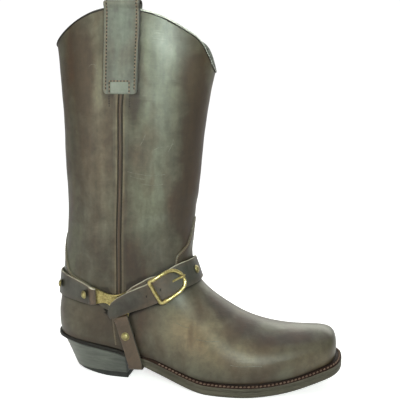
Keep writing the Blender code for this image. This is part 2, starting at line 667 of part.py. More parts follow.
def plate_edge():
    """Points round the link plate's outline, hollow between the arms."""
    pts = []
    for i, (x, z, hollow) in enumerate(PLATE):
        nx, nz, _ = PLATE[(i + 1) % len(PLATE)]
        count = 9 if hollow else 4
        d = np.array([nx - x, nz - z])
        inward = np.array([d[1], -d[0]]) / np.linalg.norm(d)
        for k in range(count):
            u = k / count
            pts.append(np.array([x, z]) + d * u + inward * hollow * math.sin(math.pi * u) ** 1.3)
    return np.array(pts)


def side_hit(tree, x, z, sign):
    """Distance out to the side (sign -1 outer, +1 inner) of the outermost surface at x, z."""
    hit = tree.ray_cast(Vector((x, sign * 200, z)), Vector((0, -sign, 0)), 220)
    return sign * hit[0].y if hit[0] is not None else None


def build_plate(name, tree, sign):
    """Brass link plate pressed to the curve of the ankle on one side."""
    edge = plate_edge()
    mid = np.array(PLATE_MID)
    near = ((0, 0), (3, 0), (-3, 0), (0, 3), (0, -3))
    inner, outer = [], []
    for share in (0.0, 0.5, 1.0):
        for x, z in [mid] if share == 0 else mid + (edge - mid) * share:
            y = max(side_hit(tree, x + dx, z + dz, sign) for dx, dz in near) + STRAP_GAP
            inner.append((x, sign * y, z))
            outer.append((x, sign * (y + PLATE_T), z))
    m = len(edge)
    total = 1 + 2 * m
    faces = []
    for base, turn in ((0, 1), (total, -1)):
        for j in range(m):
            k = (j + 1) % m
            for f in ((base, base + 1 + j, base + 1 + k), (base + 1 + j, base + 1 + m + j, base + 1 + m + k, base + 1 + k)):
                faces.append(f[::turn])
    for j in range(m):
        k = (j + 1) % m
        faces.append((1 + m + j, total + 1 + m + j, total + 1 + m + k, 1 + m + k))
    solid(name, inner + outer, faces, BRASS)


def hull(points):
    """Convex outline of 2-D points, anticlockwise."""
    pts = sorted(map(tuple, points))

    def half(seq):
        h = []
        for p in seq:
            while len(h) > 1 and (h[-1][0] - h[-2][0]) * (p[1] - h[-2][1]) - (h[-1][1] - h[-2][1]) * (p[0] - h[-2][0]) <= 0:
                h.pop()
            h.append(p)
        return h

    lo, hi = half(pts), half(pts[::-1])
    return np.array(lo[:-1] + hi[:-1])


def under_axis(z):
    """x of the under strap's middle line at height z."""
    low = float(LAST.tread(UNDER_LOW_X))
    u = np.clip((UNDER_TOP[1] - z) / (UNDER_TOP[1] - low), 0, 1)
    return UNDER_TOP[0] + (UNDER_LOW_X - UNDER_TOP[0]) * u


def build_under_strap(tree):
    """Strap stretched from plate to plate under the arch, over the welt and the outsole's edge."""
    reach_x = UNDER_HALF_W + 1.0
    low = float(min(LAST.tread(UNDER_LOW_X - reach_x), LAST.tread(UNDER_LOW_X + reach_x)))
    shape = []
    for side in (-1, 1):
        for z in np.concatenate([np.linspace(UNDER_TOP[1] + 8, 46, 20), np.linspace(45, low + 0.5, 34)]):
            ys = [side_hit(tree, under_axis(z) + dx, z, side) for dx in np.linspace(-reach_x, reach_x, 7)]
            ys = [y for y in ys if y is not None]
            if ys:
                shape += [(side * max(ys), z), (side * max(ys), max(z - 0.8, low))]
    ring = hull(shape)
    # open the loop across the ankle: outer side down, under the arch, up the inner side
    start = int(np.argmin(np.where(ring[:, 1] > UNDER_TOP[1], ring[:, 0], 1e9)))
    ring = np.roll(ring, -start, 0)
    stop = int(np.argmax(np.where(ring[:, 1] > UNDER_TOP[1], ring[:, 0], -1e9)))
    path = ring[: stop + 1]
    run = np.concatenate([[0], np.cumsum(np.linalg.norm(np.diff(path, axis=0), axis=1))])
    q = np.linspace(0, run[-1], 240)
    path = np.stack([np.interp(q, run, path[:, i]) for i in range(2)], 1)
    tan = np.gradient(path, axis=0)
    for _ in range(14):
        tan[1:-1] = (tan[:-2] + 2 * tan[1:-1] + tan[2:]) / 4
    tan /= np.linalg.norm(tan, axis=1, keepdims=True)
    nrm = np.stack([tan[:, 1], -tan[:, 0]], 1)
    inside = path + nrm * (STRAP_GAP + 0.45)
    keep = np.where(path[:, 1] <= UNDER_TOP[1])[0]
    sections = []
    lean = (UNDER_LOW_X - UNDER_TOP[0]) / (UNDER_TOP[1] - low)
    for k in keep[np.round(np.linspace(0, len(keep) - 1, 44)).astype(int)]:
        y, z = inside[k]
        t3 = np.array([-lean * tan[k, 1], *tan[k]])
        n3 = np.array([0.0, *nrm[k]])
        w = np.cross(t3, n3)
        w *= np.sign(w[0]) / np.linalg.norm(w)
        sections.append((np.array([under_axis(z), y, z]), w * UNDER_HALF_W, n3, None))
    band("under_strap", sections, STRAP_T, STRAP_LEATHER)
    return sections


def stud(name, at, normal, onto):
    """Dome stud standing on a strap's face."""
    n = Vector(normal).normalized()
    a = n.orthogonal().normalized()
    b = n.cross(a)
    around = 12
    turn = [2 * math.pi * k / around for k in range(around)]
    tree = tree_of([onto])
    high = 0.0
    for r in (0.5 * STUD_R, STUD_R):
        for t in turn:
            start = Vector(at) + (a * math.cos(t) + b * math.sin(t)) * r + n * 10
            hit = tree.ray_cast(start, -n, 12)
            if hit[0] is not None:
                high = max(high, 10 - hit[3])
    base = Vector(at) + n * (high + GAP)
    profile = ((STUD_R, 0.0), (STUD_R, 0.7), (STUD_R * 0.8, STUD_H * 0.72), (STUD_R * 0.42, STUD_H * 0.96))
    pts, faces = [], []
    for r, h in profile:
        pts += [tuple(base + (a * math.cos(t) + b * math.sin(t)) * r + n * h) for t in turn]
    pts.append(tuple(base + n * STUD_H))
    for i in range(len(profile) - 1):
        for k in range(around):
            m = (k + 1) % around
            faces.append((i * around + k, i * around + m, (i + 1) * around + m, (i + 1) * around + k))
    top = (len(profile) - 1) * around
    faces += [(top + k, top + (k + 1) % around, len(pts) - 1) for k in range(around)]
    faces.append(tuple(range(around))[::-1])
    solid(name, pts, faces, BRASS)


def tube(name, path, facing, radius, sides, mat, closed):
    """Round bar along a path; facing gives a direction at each point that never runs along it."""
    path = np.asarray(path, float)
    tan = (np.roll(path, -1, 0) - np.roll(path, 1, 0)) if closed else np.gradient(path, axis=0)
    tan /= np.linalg.norm(tan, axis=1, keepdims=True)
    pts = []
    for p, t, ref in zip(path, tan, facing):
        a = np.cross(t, ref)
        a /= np.linalg.norm(a)
        b = np.cross(a, t)
        for k in range(sides):
            th = 2 * math.pi * (k + 0.5) / sides
            pts.append(p + a * radius * math.cos(th) + b * radius * math.sin(th))
    solid(name, pts, tube_faces(len(path), sides, closed_along=closed), mat)


def build_buckle(sections):
    """Bow-shaped frame lying over the strap, with its straight bar towards the heel, and the prong."""
    c0, n0, _ = on_band(sections, BUCKLE_MID)
    ahead, behind = (on_band(sections, BUCKLE_MID + d)[0] for d in (8, -8))
    along = (ahead - behind) / np.linalg.norm(ahead - behind)
    across = np.cross(n0, along)
    across *= np.sign(across[2])
    under = tree_of(["upper", "front_strap", "buckle_chape"])

    def at(u, v, lift, need):
        """Point u along and v across the strap from the buckle's middle, lifted off the strap's face."""
        p = c0 + along * u + across * v
        for _ in range(3):
            c, n, _ = on_band(sections, bearing_of(p))
            p = p + n * (lift - float((p - c) @ n))
        for _ in range(12):
            near = under.find_nearest(Vector(p))
            p = p + n * max(0.0, need - near[3])
        return p, n

    r = BUCKLE_WIRE_R
    lift, need = r + GAP + 0.1, r / math.cos(math.pi / 8) + GAP
    knee = -BUCKLE_HALF_L * 0.22
    spots = [(-BUCKLE_HALF_L, v * BUCKLE_HALF_H) for v in np.linspace(-0.93, 0.93, 7)]
    spots += [(-BUCKLE_HALF_L + 0.9, BUCKLE_HALF_H)]
    spots += [(u, BUCKLE_HALF_H) for u in np.linspace(-BUCKLE_HALF_L + 4, knee - 3, 3)]
    for a in np.linspace(math.pi / 2, -math.pi / 2, 19):
        spots.append((knee + (BUCKLE_HALF_L - knee) * math.cos(a), BUCKLE_HALF_H * math.sin(a)))
    spots += [(u, -BUCKLE_HALF_H) for u in np.linspace(knee - 3, -BUCKLE_HALF_L + 4, 3)]
    spots += [(-BUCKLE_HALF_L + 0.9, -BUCKLE_HALF_H)]
    path, facing = zip(*(at(u, v, lift, need) for u, v in spots))
    tube("buckle_frame", path, facing, r, 8, BRASS, True)
    # prong: out of its hole and over the bow
    rise = 2 * r + GAP + 0.5
    prong = []
    for u in np.linspace(0, 1, 8):
        over = PRONG_R + GAP + 0.15 + rise * float(smooth(0.1, 0.74, u))
        prong.append(at(PRONG_FROM + (PRONG_TO - PRONG_FROM) * u, 0.0, over, PRONG_R * 1.2 + GAP))
    path, facing = zip(*prong)
    tube("buckle_prong", path, facing, PRONG_R, 6, BRASS, False)


# ---------------------------------------------------------------- pull straps
def build_pull(name, sign):
    """Loop of leather over the collar: up the outside, over the edge and down the inside."""
    across = np.linspace(0, 1, 5)
    grid = []
    upper = tree_of(["upper"])

    def edge_x(u, z):
        """x at share u across the strap at height z: wider at the collar than at its lower end."""
        k = float(smooth(PULL_LOW_Z, 385.0, z))
        a, b = (lo + (hi - lo) * k for lo, hi in zip(PULL_LOW_X, PULL_TOP_X))
        return a + (b - a) * u

    def wall(x, z):
        """Outer and inner y of the wall at x, z (inside found from the middle of the shaft)."""
        out = upper.ray_cast(Vector((x, sign * 200, z)), Vector((0, -sign, 0)), 220)[0]
        inn = upper.ray_cast(Vector((x, 0, z)), Vector((0, sign, 0)), 220)[0]
        return (abs(out.y) if out else None), (abs(inn.y) if inn else None)

    def collar_z(x):
        lo, hi = 330.0, 400.0
        for _ in range(24):
            m = (lo + hi) / 2
            if wall(x, m)[0] is None:
                hi = m
            else:
                lo = m
        return lo

    spread = np.linspace(*PULL_TOP_X, 9)
    top = max(collar_z(x) for x in spread)
    for u in across:
        line = []
        xt = edge_x(u, 385.0)
        edge = min(collar_z(np.clip(xt + d, *PULL_TOP_X)) for d in (-6, 0, 6)) - 1.2
        for z in np.linspace(PULL_LOW_Z, edge - 2.0, 9):
            x = edge_x(u, z)
            y = max(wall(x + d, z)[0] for d in (-4, 0, 4))
            line.append((x, y + GAP + 0.25, z))
        y_out, y_in = wall(xt, edge)
        c, half = (y_out + y_in) / 2, (y_out - y_in) / 2
        for a in np.linspace(0.12, math.pi - 0.12, 11):
            ry = half + GAP + 0.3 + PULL_BOW * math.sin(a) ** 0.7
            z = top + 0.6 + (PULL_RISE - PULL_T - 0.6) * math.sin(a) ** 0.8 - (top - edge) * (1 - math.sin(a)) * 0.6
            line.append((xt, c + ry * math.cos(a), z))
        for z in np.linspace(edge - 4.0, PULL_IN_Z, 6):
            x = edge_x(u, z)
            y = min(wall(x + d, z)[1] for d in (-4, 0, 4))
            line.append((x, y - GAP - 0.25, z))
        grid.append(line)
    grid = np.array(grid)
    tan = np.gradient(grid, axis=1)
    tan /= np.linalg.norm(tan, axis=2, keepdims=True)
    nrm = np.stack([0 * tan[..., 0], tan[..., 2], -tan[..., 1]], 2)
    far = grid + nrm / np.linalg.norm(nrm, axis=2, keepdims=True) * PULL_T
    cols, rows = grid.shape[:2]
    pts, faces = [], []
    for layer in (grid, far):
        for j in range(rows):
            for i in range(cols):
                pts.append((layer[i, j, 0], sign * layer[i, j, 1], layer[i, j, 2]))
    base = rows * cols
    for j in range(rows - 1):
        for i in range(cols - 1):
            a = j * cols + i
            faces.append((a, a + 1, a + cols + 1, a + cols))
            faces.append((base + a + 1, base + a, base + a + cols, base + a + cols + 1))
        for i, turn in ((0, 1), (cols - 1, -1)):
            a = j * cols + i
            faces.append((a, a + cols, base + a + cols, base + a)[::turn])
    for j, turn in ((0, 1), (rows - 1, -1)):
        for i in range(cols - 1):
            a = j * cols + i
            faces.append((a + 1, a, base + a, base + a + 1)[::turn])
    solid(name, pts, faces, STRAP_LEATHER)


# ---------------------------------------------------------------- assembly
def main():
    for obj in list(bpy.data.objects):
        bpy.data.objects.remove(obj)

    build_upper()
    build_bottom()
    build_heel()

    plates = ["link_plate_outer", "link_plate_inner"]
    shell = tree_of(["upper", "welt", "outsole"])
    build_plate(plates[0], shell, -1)
    build_plate(plates[1], shell, +1)
    under = build_under_strap(tree_of(["upper", "welt", "outsole"] + plates))
    dressed = ["upper", "under_strap"] + plates
    back = band_sections(tree_of(dressed), BACK_STRAP, 4.0)
    band("back_strap", back, STRAP_T, STRAP_LEATHER)
    band("buckle_chape", band_sections(tree_of(dressed), CHAPE, 4.0), STRAP_T, STRAP_LEATHER)
    front = band_sections(tree_of(dressed + ["buckle_chape"]), FRONT_STRAP, 3.5, FRONT_TIP)
    band("front_strap", front, STRAP_T, STRAP_LEATHER)
    build_buckle(front)

    for i, deg in enumerate(BACK_STUDS):
        p, n, _ = on_band(back, deg)
        stud(f"stud_back_{i + 1}", p, n, "back_strap")
    for i, deg in enumerate(FRONT_STUDS):
        p, n, _ = on_band(front, deg)
        stud(f"stud_front_{i + 1}", p, n, "front_strap")
    for label, half in (("outer", under[: len(under) // 2]), ("inner", under[len(under) // 2 :])):
        c, _, n, _ = min(half, key=lambda q: abs(q[0][2] - UNDER_STUD_Z))
        stud(f"stud_under_{label}", c + n * STRAP_T, n, "under_strap")

    build_pull("pull_strap_outer", -1)
    build_pull("pull_strap_inner", +1)

    # set the boot over the middle of its footprint
    every = np.concatenate([TREES[o.name][0] for o in PIECES])
    lo, hi = every.min(0), every.max(0)
    shift = np.array([(lo[0] + hi[0]) / 2, (lo[1] + hi[1]) / 2, lo[2]]) * MM
    for obj in PIECES:
        for v in obj.data.vertices:
            v.co -= Vector(shift)
        obj.data.update()
    print("footprint middle in last axes (mm):", np.round(shift / MM, 4))


main()
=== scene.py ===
"""Looks of the western harness boot (right foot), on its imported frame.

Sizes and section tables are those of the solid model, in millimetres, in the last's own axes: x from the
back of the heel to the toe, y zero over the middle of the heel with the outer side negative, z up from
the floor.  SHIFT turns them into the row frame.
"""

import math

import bpy
import numpy as np
from mathutils import Matrix, Vector
from mathutils.bvhtree import BVHTree


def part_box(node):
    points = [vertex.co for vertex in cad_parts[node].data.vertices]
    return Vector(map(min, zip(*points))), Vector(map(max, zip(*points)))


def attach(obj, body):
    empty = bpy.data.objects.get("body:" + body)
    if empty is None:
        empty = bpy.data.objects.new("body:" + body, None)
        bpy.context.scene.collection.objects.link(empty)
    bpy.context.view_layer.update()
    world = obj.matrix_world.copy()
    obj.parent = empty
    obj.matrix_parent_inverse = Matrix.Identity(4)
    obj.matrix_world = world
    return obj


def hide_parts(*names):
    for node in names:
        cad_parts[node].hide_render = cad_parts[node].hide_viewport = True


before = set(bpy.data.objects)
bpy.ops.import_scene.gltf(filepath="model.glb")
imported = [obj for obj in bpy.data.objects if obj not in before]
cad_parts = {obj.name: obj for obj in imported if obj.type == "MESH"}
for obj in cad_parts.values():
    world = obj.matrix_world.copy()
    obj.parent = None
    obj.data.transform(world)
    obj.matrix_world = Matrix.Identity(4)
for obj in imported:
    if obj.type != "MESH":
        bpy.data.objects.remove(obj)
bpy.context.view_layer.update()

MM = 0.001

# ---------------------------------------------------------------- sizes (mm), as in the solid model
GAP = 0.3
WALL = 2.6
WELT_T = 3.2
SOLE_T = 6.2
SEAT_T = 4.6
WELT_END_X = 92.0
LEDGE_TOE, LEDGE_FORE, LEDGE_WAIST, LEDGE_HEEL, LEDGE_BACK = 9.8, 6.4, 4.6, 2.7, 5.3
TUCK, TUCK_H = 0.075, 19.0
HEEL_BREAST_X = 82.0
LIFT_T = 6.0
HEEL_BASE_BACK_X = 19.5
HEEL_BASE_HALF_W = 24.6
HEEL_BEVEL = (62.0, 4.6)
HEEL_INSET, HEEL_INSET_BACK = 0.8, 5.6
STRAP_T, STRAP_GAP = 2.0, 0.55
PLATE_T = 2.0
STUD_R, STUD_H = 4.5, 2.6
PULL_T = 1.6
PULL_TOP_X, PULL_LOW_X = (62.0, 98.8), (60.8, 96.6)
PULL_LOW_Z, PULL_IN_Z = 303.0, 338.0
PULL_RISE, PULL_BOW = 7.3, 5.4

LEVEL_COLUMNS = ("name", "back_x", "back_z", "front_x", "front_z", "front_r", "front_p", "back_r")
LEVELS = (
    ("feather", 2.0, 45.1, 299.6, 30.6, 11, 3.0, 31),
    ("toe wall", 0.5, 53.0, 300.6, 40.5, 11, 3.0, 32),
    ("toe edge", 0.0, 60.0, 298.8, 52.4, 13, 2.7, 33),
    ("toe top", 0.0, 67.0, 291.0, 57.4, 17, 2.4, 33),
    ("toe box", 0.5, 74.0, 266.0, 58.4, 23, 2.2, 34),
    ("vamp", 1.6, 83.0, 236.0, 61.2, 33, 2.1, 36),
    ("low instep", 2.8, 94.0, 207.5, 69.2, 43, 2.0, 39),
    ("instep", 3.9, 107.0, 184.8, 81.2, 50, 2.0, 44),
    ("high instep", 5.2, 122.0, 164.2, 95.8, 56, 2.0, 52),
    ("throat", 7.2, 138.0, 148.8, 114.5, 62, 2.0, 60),
    ("ankle", 9.2, 157.0, 143.4, 140.0, 68, 2.0, 66),
    ("low shaft", 9.7, 184.0, 145.4, 171.0, 71, 2.0, 70),
    ("shaft", 8.4, 217.0, 150.0, 213.0, 74, 2.0, 74),
    ("calf", 6.2, 258.0, 154.4, 262.0, 78, 2.0, 78),
    ("high calf", 3.6, 306.0, 159.4, 303.0, 82, 2.0, 82),
    ("collar", -2.2, 357.5, 165.4, 331.0, 87, 2.0, 87),
)
FOOT_COLUMNS = ("name", "x", "outer_y", "inner_y", "ridge_y")
FOOT = (
    ("heel back", -10.0, -30.0, 30.0, 0.0),
    ("heel", 25.0, -31.6, 31.6, 0.0),
    ("seat", 60.0, -33.0, 32.6, 0.0),
    ("waist back", 92.0, -34.4, 32.6, -0.4),
    ("waist", 122.0, -38.6, 35.6, -0.8),
    ("ball back", 155.0, -47.6, 41.6, -0.6),
    ("ball", 188.0, -53.4, 46.4, 0.6),
    ("ball front", 213.0, -51.0, 47.6, 2.4),
    ("toe root", 240.0, -43.0, 46.4, 5.0),
    ("toe side", 266.0, -31.0, 42.6, 8.6),
    ("toe corner", 290.0, -17.0, 38.0, 12.0),
    ("toe end", 312.0, -6.0, 34.0, 14.6),
)
SHAFT_COLUMNS = ("name", "z", "half_w")
SHAFT = (
    ("heel cup", 60.0, 33.5),
    ("ankle bone", 110.0, 37.0),
    ("ankle", 160.0, 39.5),
    ("shaft", 220.0, 42.5),
    ("calf", 290.0, 45.5),
    ("collar", 390.0, 45.5),
)
TREAD_COLUMNS = ("name", "x", "z")
TREAD = (
    ("seat back", -12.0, 41.2),
    ("seat mid", 20.0, 37.9),
    ("seat", 50.0, 32.8),
    ("breast", 82.0, 26.4),
    ("arch", 102.0, 18.2),
    ("shank", 124.0, 10.6),
    ("tread back", 148.0, 3.8),
    ("ball back", 170.0, 0.0),
    ("ball", 188.0, 0.0),
    ("ball front", 208.0, 0.0),
    ("spring", 238.0, 1.9),
    ("toe rise", 268.0, 7.0),
    ("toe", 294.0, 15.0),
    ("toe end", 314.0, 22.4),
)
COLLAR_COLUMNS = ("share", "rise")
COLLAR = (
    (0.0, 0.0),
    (0.10, 14.0),
    (0.22, 28.2),
    (0.36, 39.2),
    (0.50, 43.8),
    (0.62, 44.2),
    (0.75, 40.6),
    (0.88, 32.0),
    (0.96, 18.2),
    (1.0, 0.0),
)
HARNESS_AXIS = (76.0, 0.0)
BACK_STRAP_SIDE = ((0.0, 101.0, 12.8), (14.0, 100.6, 12.6), (30.0, 98.6, 11.8), (45.0, 94.4, 10.6), (57.5, 91.8, 8.6))
BACK_STRAP = tuple((-b, z, w) for b, z, w in BACK_STRAP_SIDE[:0:-1]) + BACK_STRAP_SIDE
CHAPE = ((101.0, 89.2, 10.2), (106.0, 91.4, 11.8), (118.0, 97.6, 12.2), (129.0, 103.2, 12.0), (136.0, 106.2, 10.6), (143.0, 108.8, 9.4))
FRONT_STRAP = (
    (78.6, 77.6, 4.6),
    (79.8, 78.4, 7.2),
    (82.2, 79.6, 9.0),
    (86.0, 81.2, 10.2),
    (90.5, 83.2, 10.7),
    (96.0, 85.9, 10.9),
    (104.0, 89.3, 11.6),
    (117.0, 94.8, 12.3),
    (131.0, 101.2, 12.9),
    (145.0, 109.8, 13.2),
    (158.0, 116.6, 13.2),
    (169.0, 119.8, 12.8),
    (179.0, 121.0, 12.4),
    (191.0, 119.2, 12.2),
    (202.0, 114.8, 12.2),
    (215.0, 107.8, 12.2),
    (229.0, 100.6, 12.2),
    (242.0, 95.0, 11.4),
    (250.0, 92.0, 10.0),
)
FRONT_TIP = (0.0, 0.7, 1.8, 3.4, 5.6)
PLATE = (
    (45.4, 101.6, 9.6),
    (95.6, 107.0, 0.0),
    (104.4, 91.4, 6.0),
    (84.8, 70.2, 0.0),
    (71.6, 69.6, 8.8),
    (46.0, 83.4, 0.0),
)
PLATE_MID = (75.0, 88.0)
UNDER_TOP, UNDER_LOW_X, UNDER_HALF_W = (77.8, 73.6), 93.8, 7.7
BACK_STUDS, FRONT_STUDS, UNDER_STUD_Z = (-47.5, 19.0, 47.5), (171.5,), 52.2
BUCKLE_MID, BUCKLE_HALF_L, BUCKLE_HALF_H = 143.6, 16.8, 14.0
BUCKLE_WIRE_R, PRONG_R = 1.95, 1.1
PRONG_FROM, PRONG_TO = 4.4, 17.6

# ---------------------------------------------------------------- sewing and overlays
# Edge of the vamp's tongue and of the heel counter, as bearing from the back of the heel and height;
# the inner side is the same, mirrored.
VAMP_EDGE = ((180.0, 176.5), (177.6, 175.6), (176.4, 170.0), (175.2, 162.6), (172.7, 156.0), (169.0, 148.6), (163.3, 142.6), (158.6, 138.0), (156.2, 131.6), (154.6, 124.0), (149.0, 113.0), (138.0, 102.0), (122.0, 94.0), (104.0, 89.0), (88.0, 86.0))
COUNTER_EDGE = ((0.0, 156.0), (4.0, 152.0), (9.0, 144.0), (14.9, 133.2), (20.1, 123.4), (23.6, 117.0), (27.9, 112.6), (35.2, 109.6), (46.0, 104.0), (60.0, 96.0), (74.0, 89.0), (84.0, 86.4))
SIDE_SEAM = ((79.9, 305.0), (79.5, 301.5), (78.4, 250.0), (76.8, 190.0), (75.6, 140.0), (75.0, 104.5), (74.8, 88.0))
LOW_SEAM = ((66.8, 82.0), (67.2, 68.0), (68.8, 53.0), (70.4, 39.5))

# Pale scratches of the outer side, as x and z along each.
SCRATCHES = (
    ((85.5, 225.6), (91.0, 224.0), (97.0, 223.0), (108.0, 221.4), (116.0, 221.8), (123.0, 223.0)),
    ((88.0, 221.0), (96.0, 218.6), (103.0, 217.8)),
    ((98.5, 252.0), (101.5, 257.0), (104.0, 263.5)),
    ((112.0, 247.5), (118.0, 250.5), (126.0, 251.5), (131.0, 254.0)),
    ((126.0, 246.0), (129.0, 252.0), (131.0, 259.0)),
    ((100.0, 213.0), (112.0, 211.6), (121.0, 212.8)),
    ((52.0, 330.0), (55.0, 322.0), (58.0, 318.0)),
    ((44.0, 331.0), (48.0, 333.0), (53.0, 331.0)),
    ((160.0, 56.0), (172.0, 54.6), (184.0, 55.4)),
    ((196.0, 34.0), (206.0, 32.6), (218.0, 33.2), (228.0, 32.6)),
    ((138.0, 70.0), (146.0, 67.0), (152.0, 66.0)),
)

# Soft creases of the leather: middle (bearing, height), reach along and across it, slant, depth.
CREASE_COLUMNS = ("bearing", "z", "along_deg", "across_mm", "slant", "depth_mm")
CREASES = (
    (150.0, 186.0, 34.0, 7.0, 0.18, 0.55),
    (128.0, 168.0, 30.0, 6.0, 0.30, -0.45),
    (150.0, 158.0, 26.0, 6.5, 0.42, 0.60),
    (60.0, 172.0, 34.0, 8.0, -0.12, 0.50),
    (40.0, 150.0, 26.0, 7.0, -0.2, -0.45),
    (205.0, 184.0, 34.0, 7.0, -0.18, 0.55),
    (222.0, 160.0, 30.0, 6.0, -0.30, -0.45),
    (300.0, 168.0, 34.0, 8.0, 0.12, 0.5),
)

# Colour patches of the waxed leather on the outer side: middle x, z, reach in x and z, haze, tan.
# Haze turns the leather greyish and pale, a negative one deep brown; tan warms and lightens it.
# Some patches are painted light: the three front patches up the shaft are the leather's bloom with a painted sheen over
# it, the toe top patch is a painted reflection, and the dark patches beside the seam, right of the pull strap
# and under the ridges of the foot are painted shade.
PATCH_COLUMNS = ("name", "x", "z", "reach_x", "reach_z", "haze_and_painted_light", "tan")
PATCHES = (
    # the three front patches: the leather's bloom, with a painted sheen over it
    ("high front haze", 114, 335, 17, 52, 0.85, 0.00),
    ("mid front haze", 116, 262, 20, 44, 0.60, 0.00),
    ("low front haze", 112, 192, 22, 44, 0.95, 0.03),
    # painted shade beside the side seam
    ("painted shade beside the seam", 94, 290, 6, 40, -0.55, 0.00),
    ("painted shade behind the seam", 66, 265, 6, 34, -0.45, 0.00),
    ("back brown", 36, 318, 16, 46, -0.90, 0.12),
    ("back taupe", 56, 300, 11, 60, 0.10, 0.20),
    ("back low brown", 40, 232, 20, 36, -0.60, 0.10),
    ("back low taupe", 56, 196, 12, 50, 0.05, 0.15),
    ("front brown", 152, 262, 11, 70, -1.00, 0.00),
    ("front high brown", 146, 325, 12, 26, -0.45, 0.10),
    ("front low dark", 140, 182, 15, 32, -0.85, -0.05),
    ("ankle dark", 92, 128, 34, 22, -0.25, -0.10),
    ("counter", 34, 70, 40, 26, -0.45, 0.12),
    ("left of the pull strap", 55, 312, 6, 28, 0.70, 0.00),
    # painted shade right of the pull strap
    ("painted shade right of the pull strap", 102, 328, 5, 32, -0.70, 0.00),
    # painted shade: the dark band under the ridges of the foot
    ("painted shade under the instep ridge", 174, 92, 10, 11, -0.90, -0.40),
    ("painted shade under the vamp ridge", 186, 81, 9, 9, -1.00, -0.60),
    ("painted shade under the ridge", 208, 66, 14, 8, -1.00, -0.45),
    ("painted shade under the toe ridge", 240, 55, 22, 5, -0.90, -0.30),
    ("painted shade under the toe end", 268, 55, 20, 5, -0.45, -0.10),
    # painted reflection on the toe's top
    ("toe top painted reflection", 268, 68, 32, 6, 1.00, 0.00),
    ("quarter tan", 156, 62, 34, 24, 0.70, 1.00),
    ("vamp tan", 200, 42, 36, 18, -0.15, 0.60),
    ("waist grey", 106, 62, 20, 22, 0.25, 0.00),
    ("vamp side brown", 232, 42, 24, 9, -0.15, 0.30),
    ("toe brown", 280, 36, 30, 15, -0.05, 0.50),
)


# ---------------------------------------------------------------- small maths
def column(table, names, name):
    return np.array([row[names.index(name)] for row in table], float)


def spline(knots, values):
    """Natural cubic curve through the knots; values may have several columns."""
    x, y = np.asarray(knots, float), np.asarray(values, float)
    n, h = len(x), np.diff(x)
    flat = y.reshape(n, -1)
    hh = h[:, None]
    a, r = np.eye(n), np.zeros(flat.shape)
    for i in range(1, n - 1):
        a[i, i - 1 : i + 2] = h[i - 1], 2 * (h[i - 1] + h[i]), h[i]
        r[i] = 3 * ((flat[i + 1] - flat[i]) / h[i] - (flat[i] - flat[i - 1]) / h[i - 1])
    c = np.linalg.solve(a, r)
    b = np.diff(flat, axis=0) / hh - hh * (2 * c[:-1] + c[1:]) / 3
    e = np.diff(c, axis=0) / (3 * hh)

    def at(q):
        q = np.clip(np.asarray(q, float), x[0], x[-1])
        i = np.clip(np.searchsorted(x, q) - 1, 0, n - 2)
        d = (q - x[i])[..., None]
        return (flat[i] + d * (b[i] + d * (c[i] + d * e[i]))).reshape(q.shape + y.shape[1:])

    return at


def smooth(lo, hi, q):
    t = np.clip((np.asarray(q, float) - lo) / (hi - lo), 0, 1)
    return t * t * (3 - 2 * t)


def cap(t, p):
    return (1 - (1 - np.clip(t, 0, 1)) ** p) ** (1 / p)


def unit(v):
    v = np.asarray(v, float)
    return v / np.maximum(np.linalg.norm(v, axis=-1, keepdims=True), 1e-9)


def resample(points, step=None, count=None, closed=False):
    """Points spread evenly along a smooth curve through the given ones."""
    p = np.asarray(points, float)
    if closed:
        p = np.concatenate([p[-3:], p, p[:4]])
    run = np.concatenate([[0], np.cumsum(np.linalg.norm(np.diff(p, axis=0), axis=1))])
    f = spline(run, p)
    a, b = (run[3], run[-4]) if closed else (run[0], run[-1])
    n = count or max(3, int(round((b - a) / step)) + 1)
    return f(np.linspace(a, b, n, endpoint=not closed))


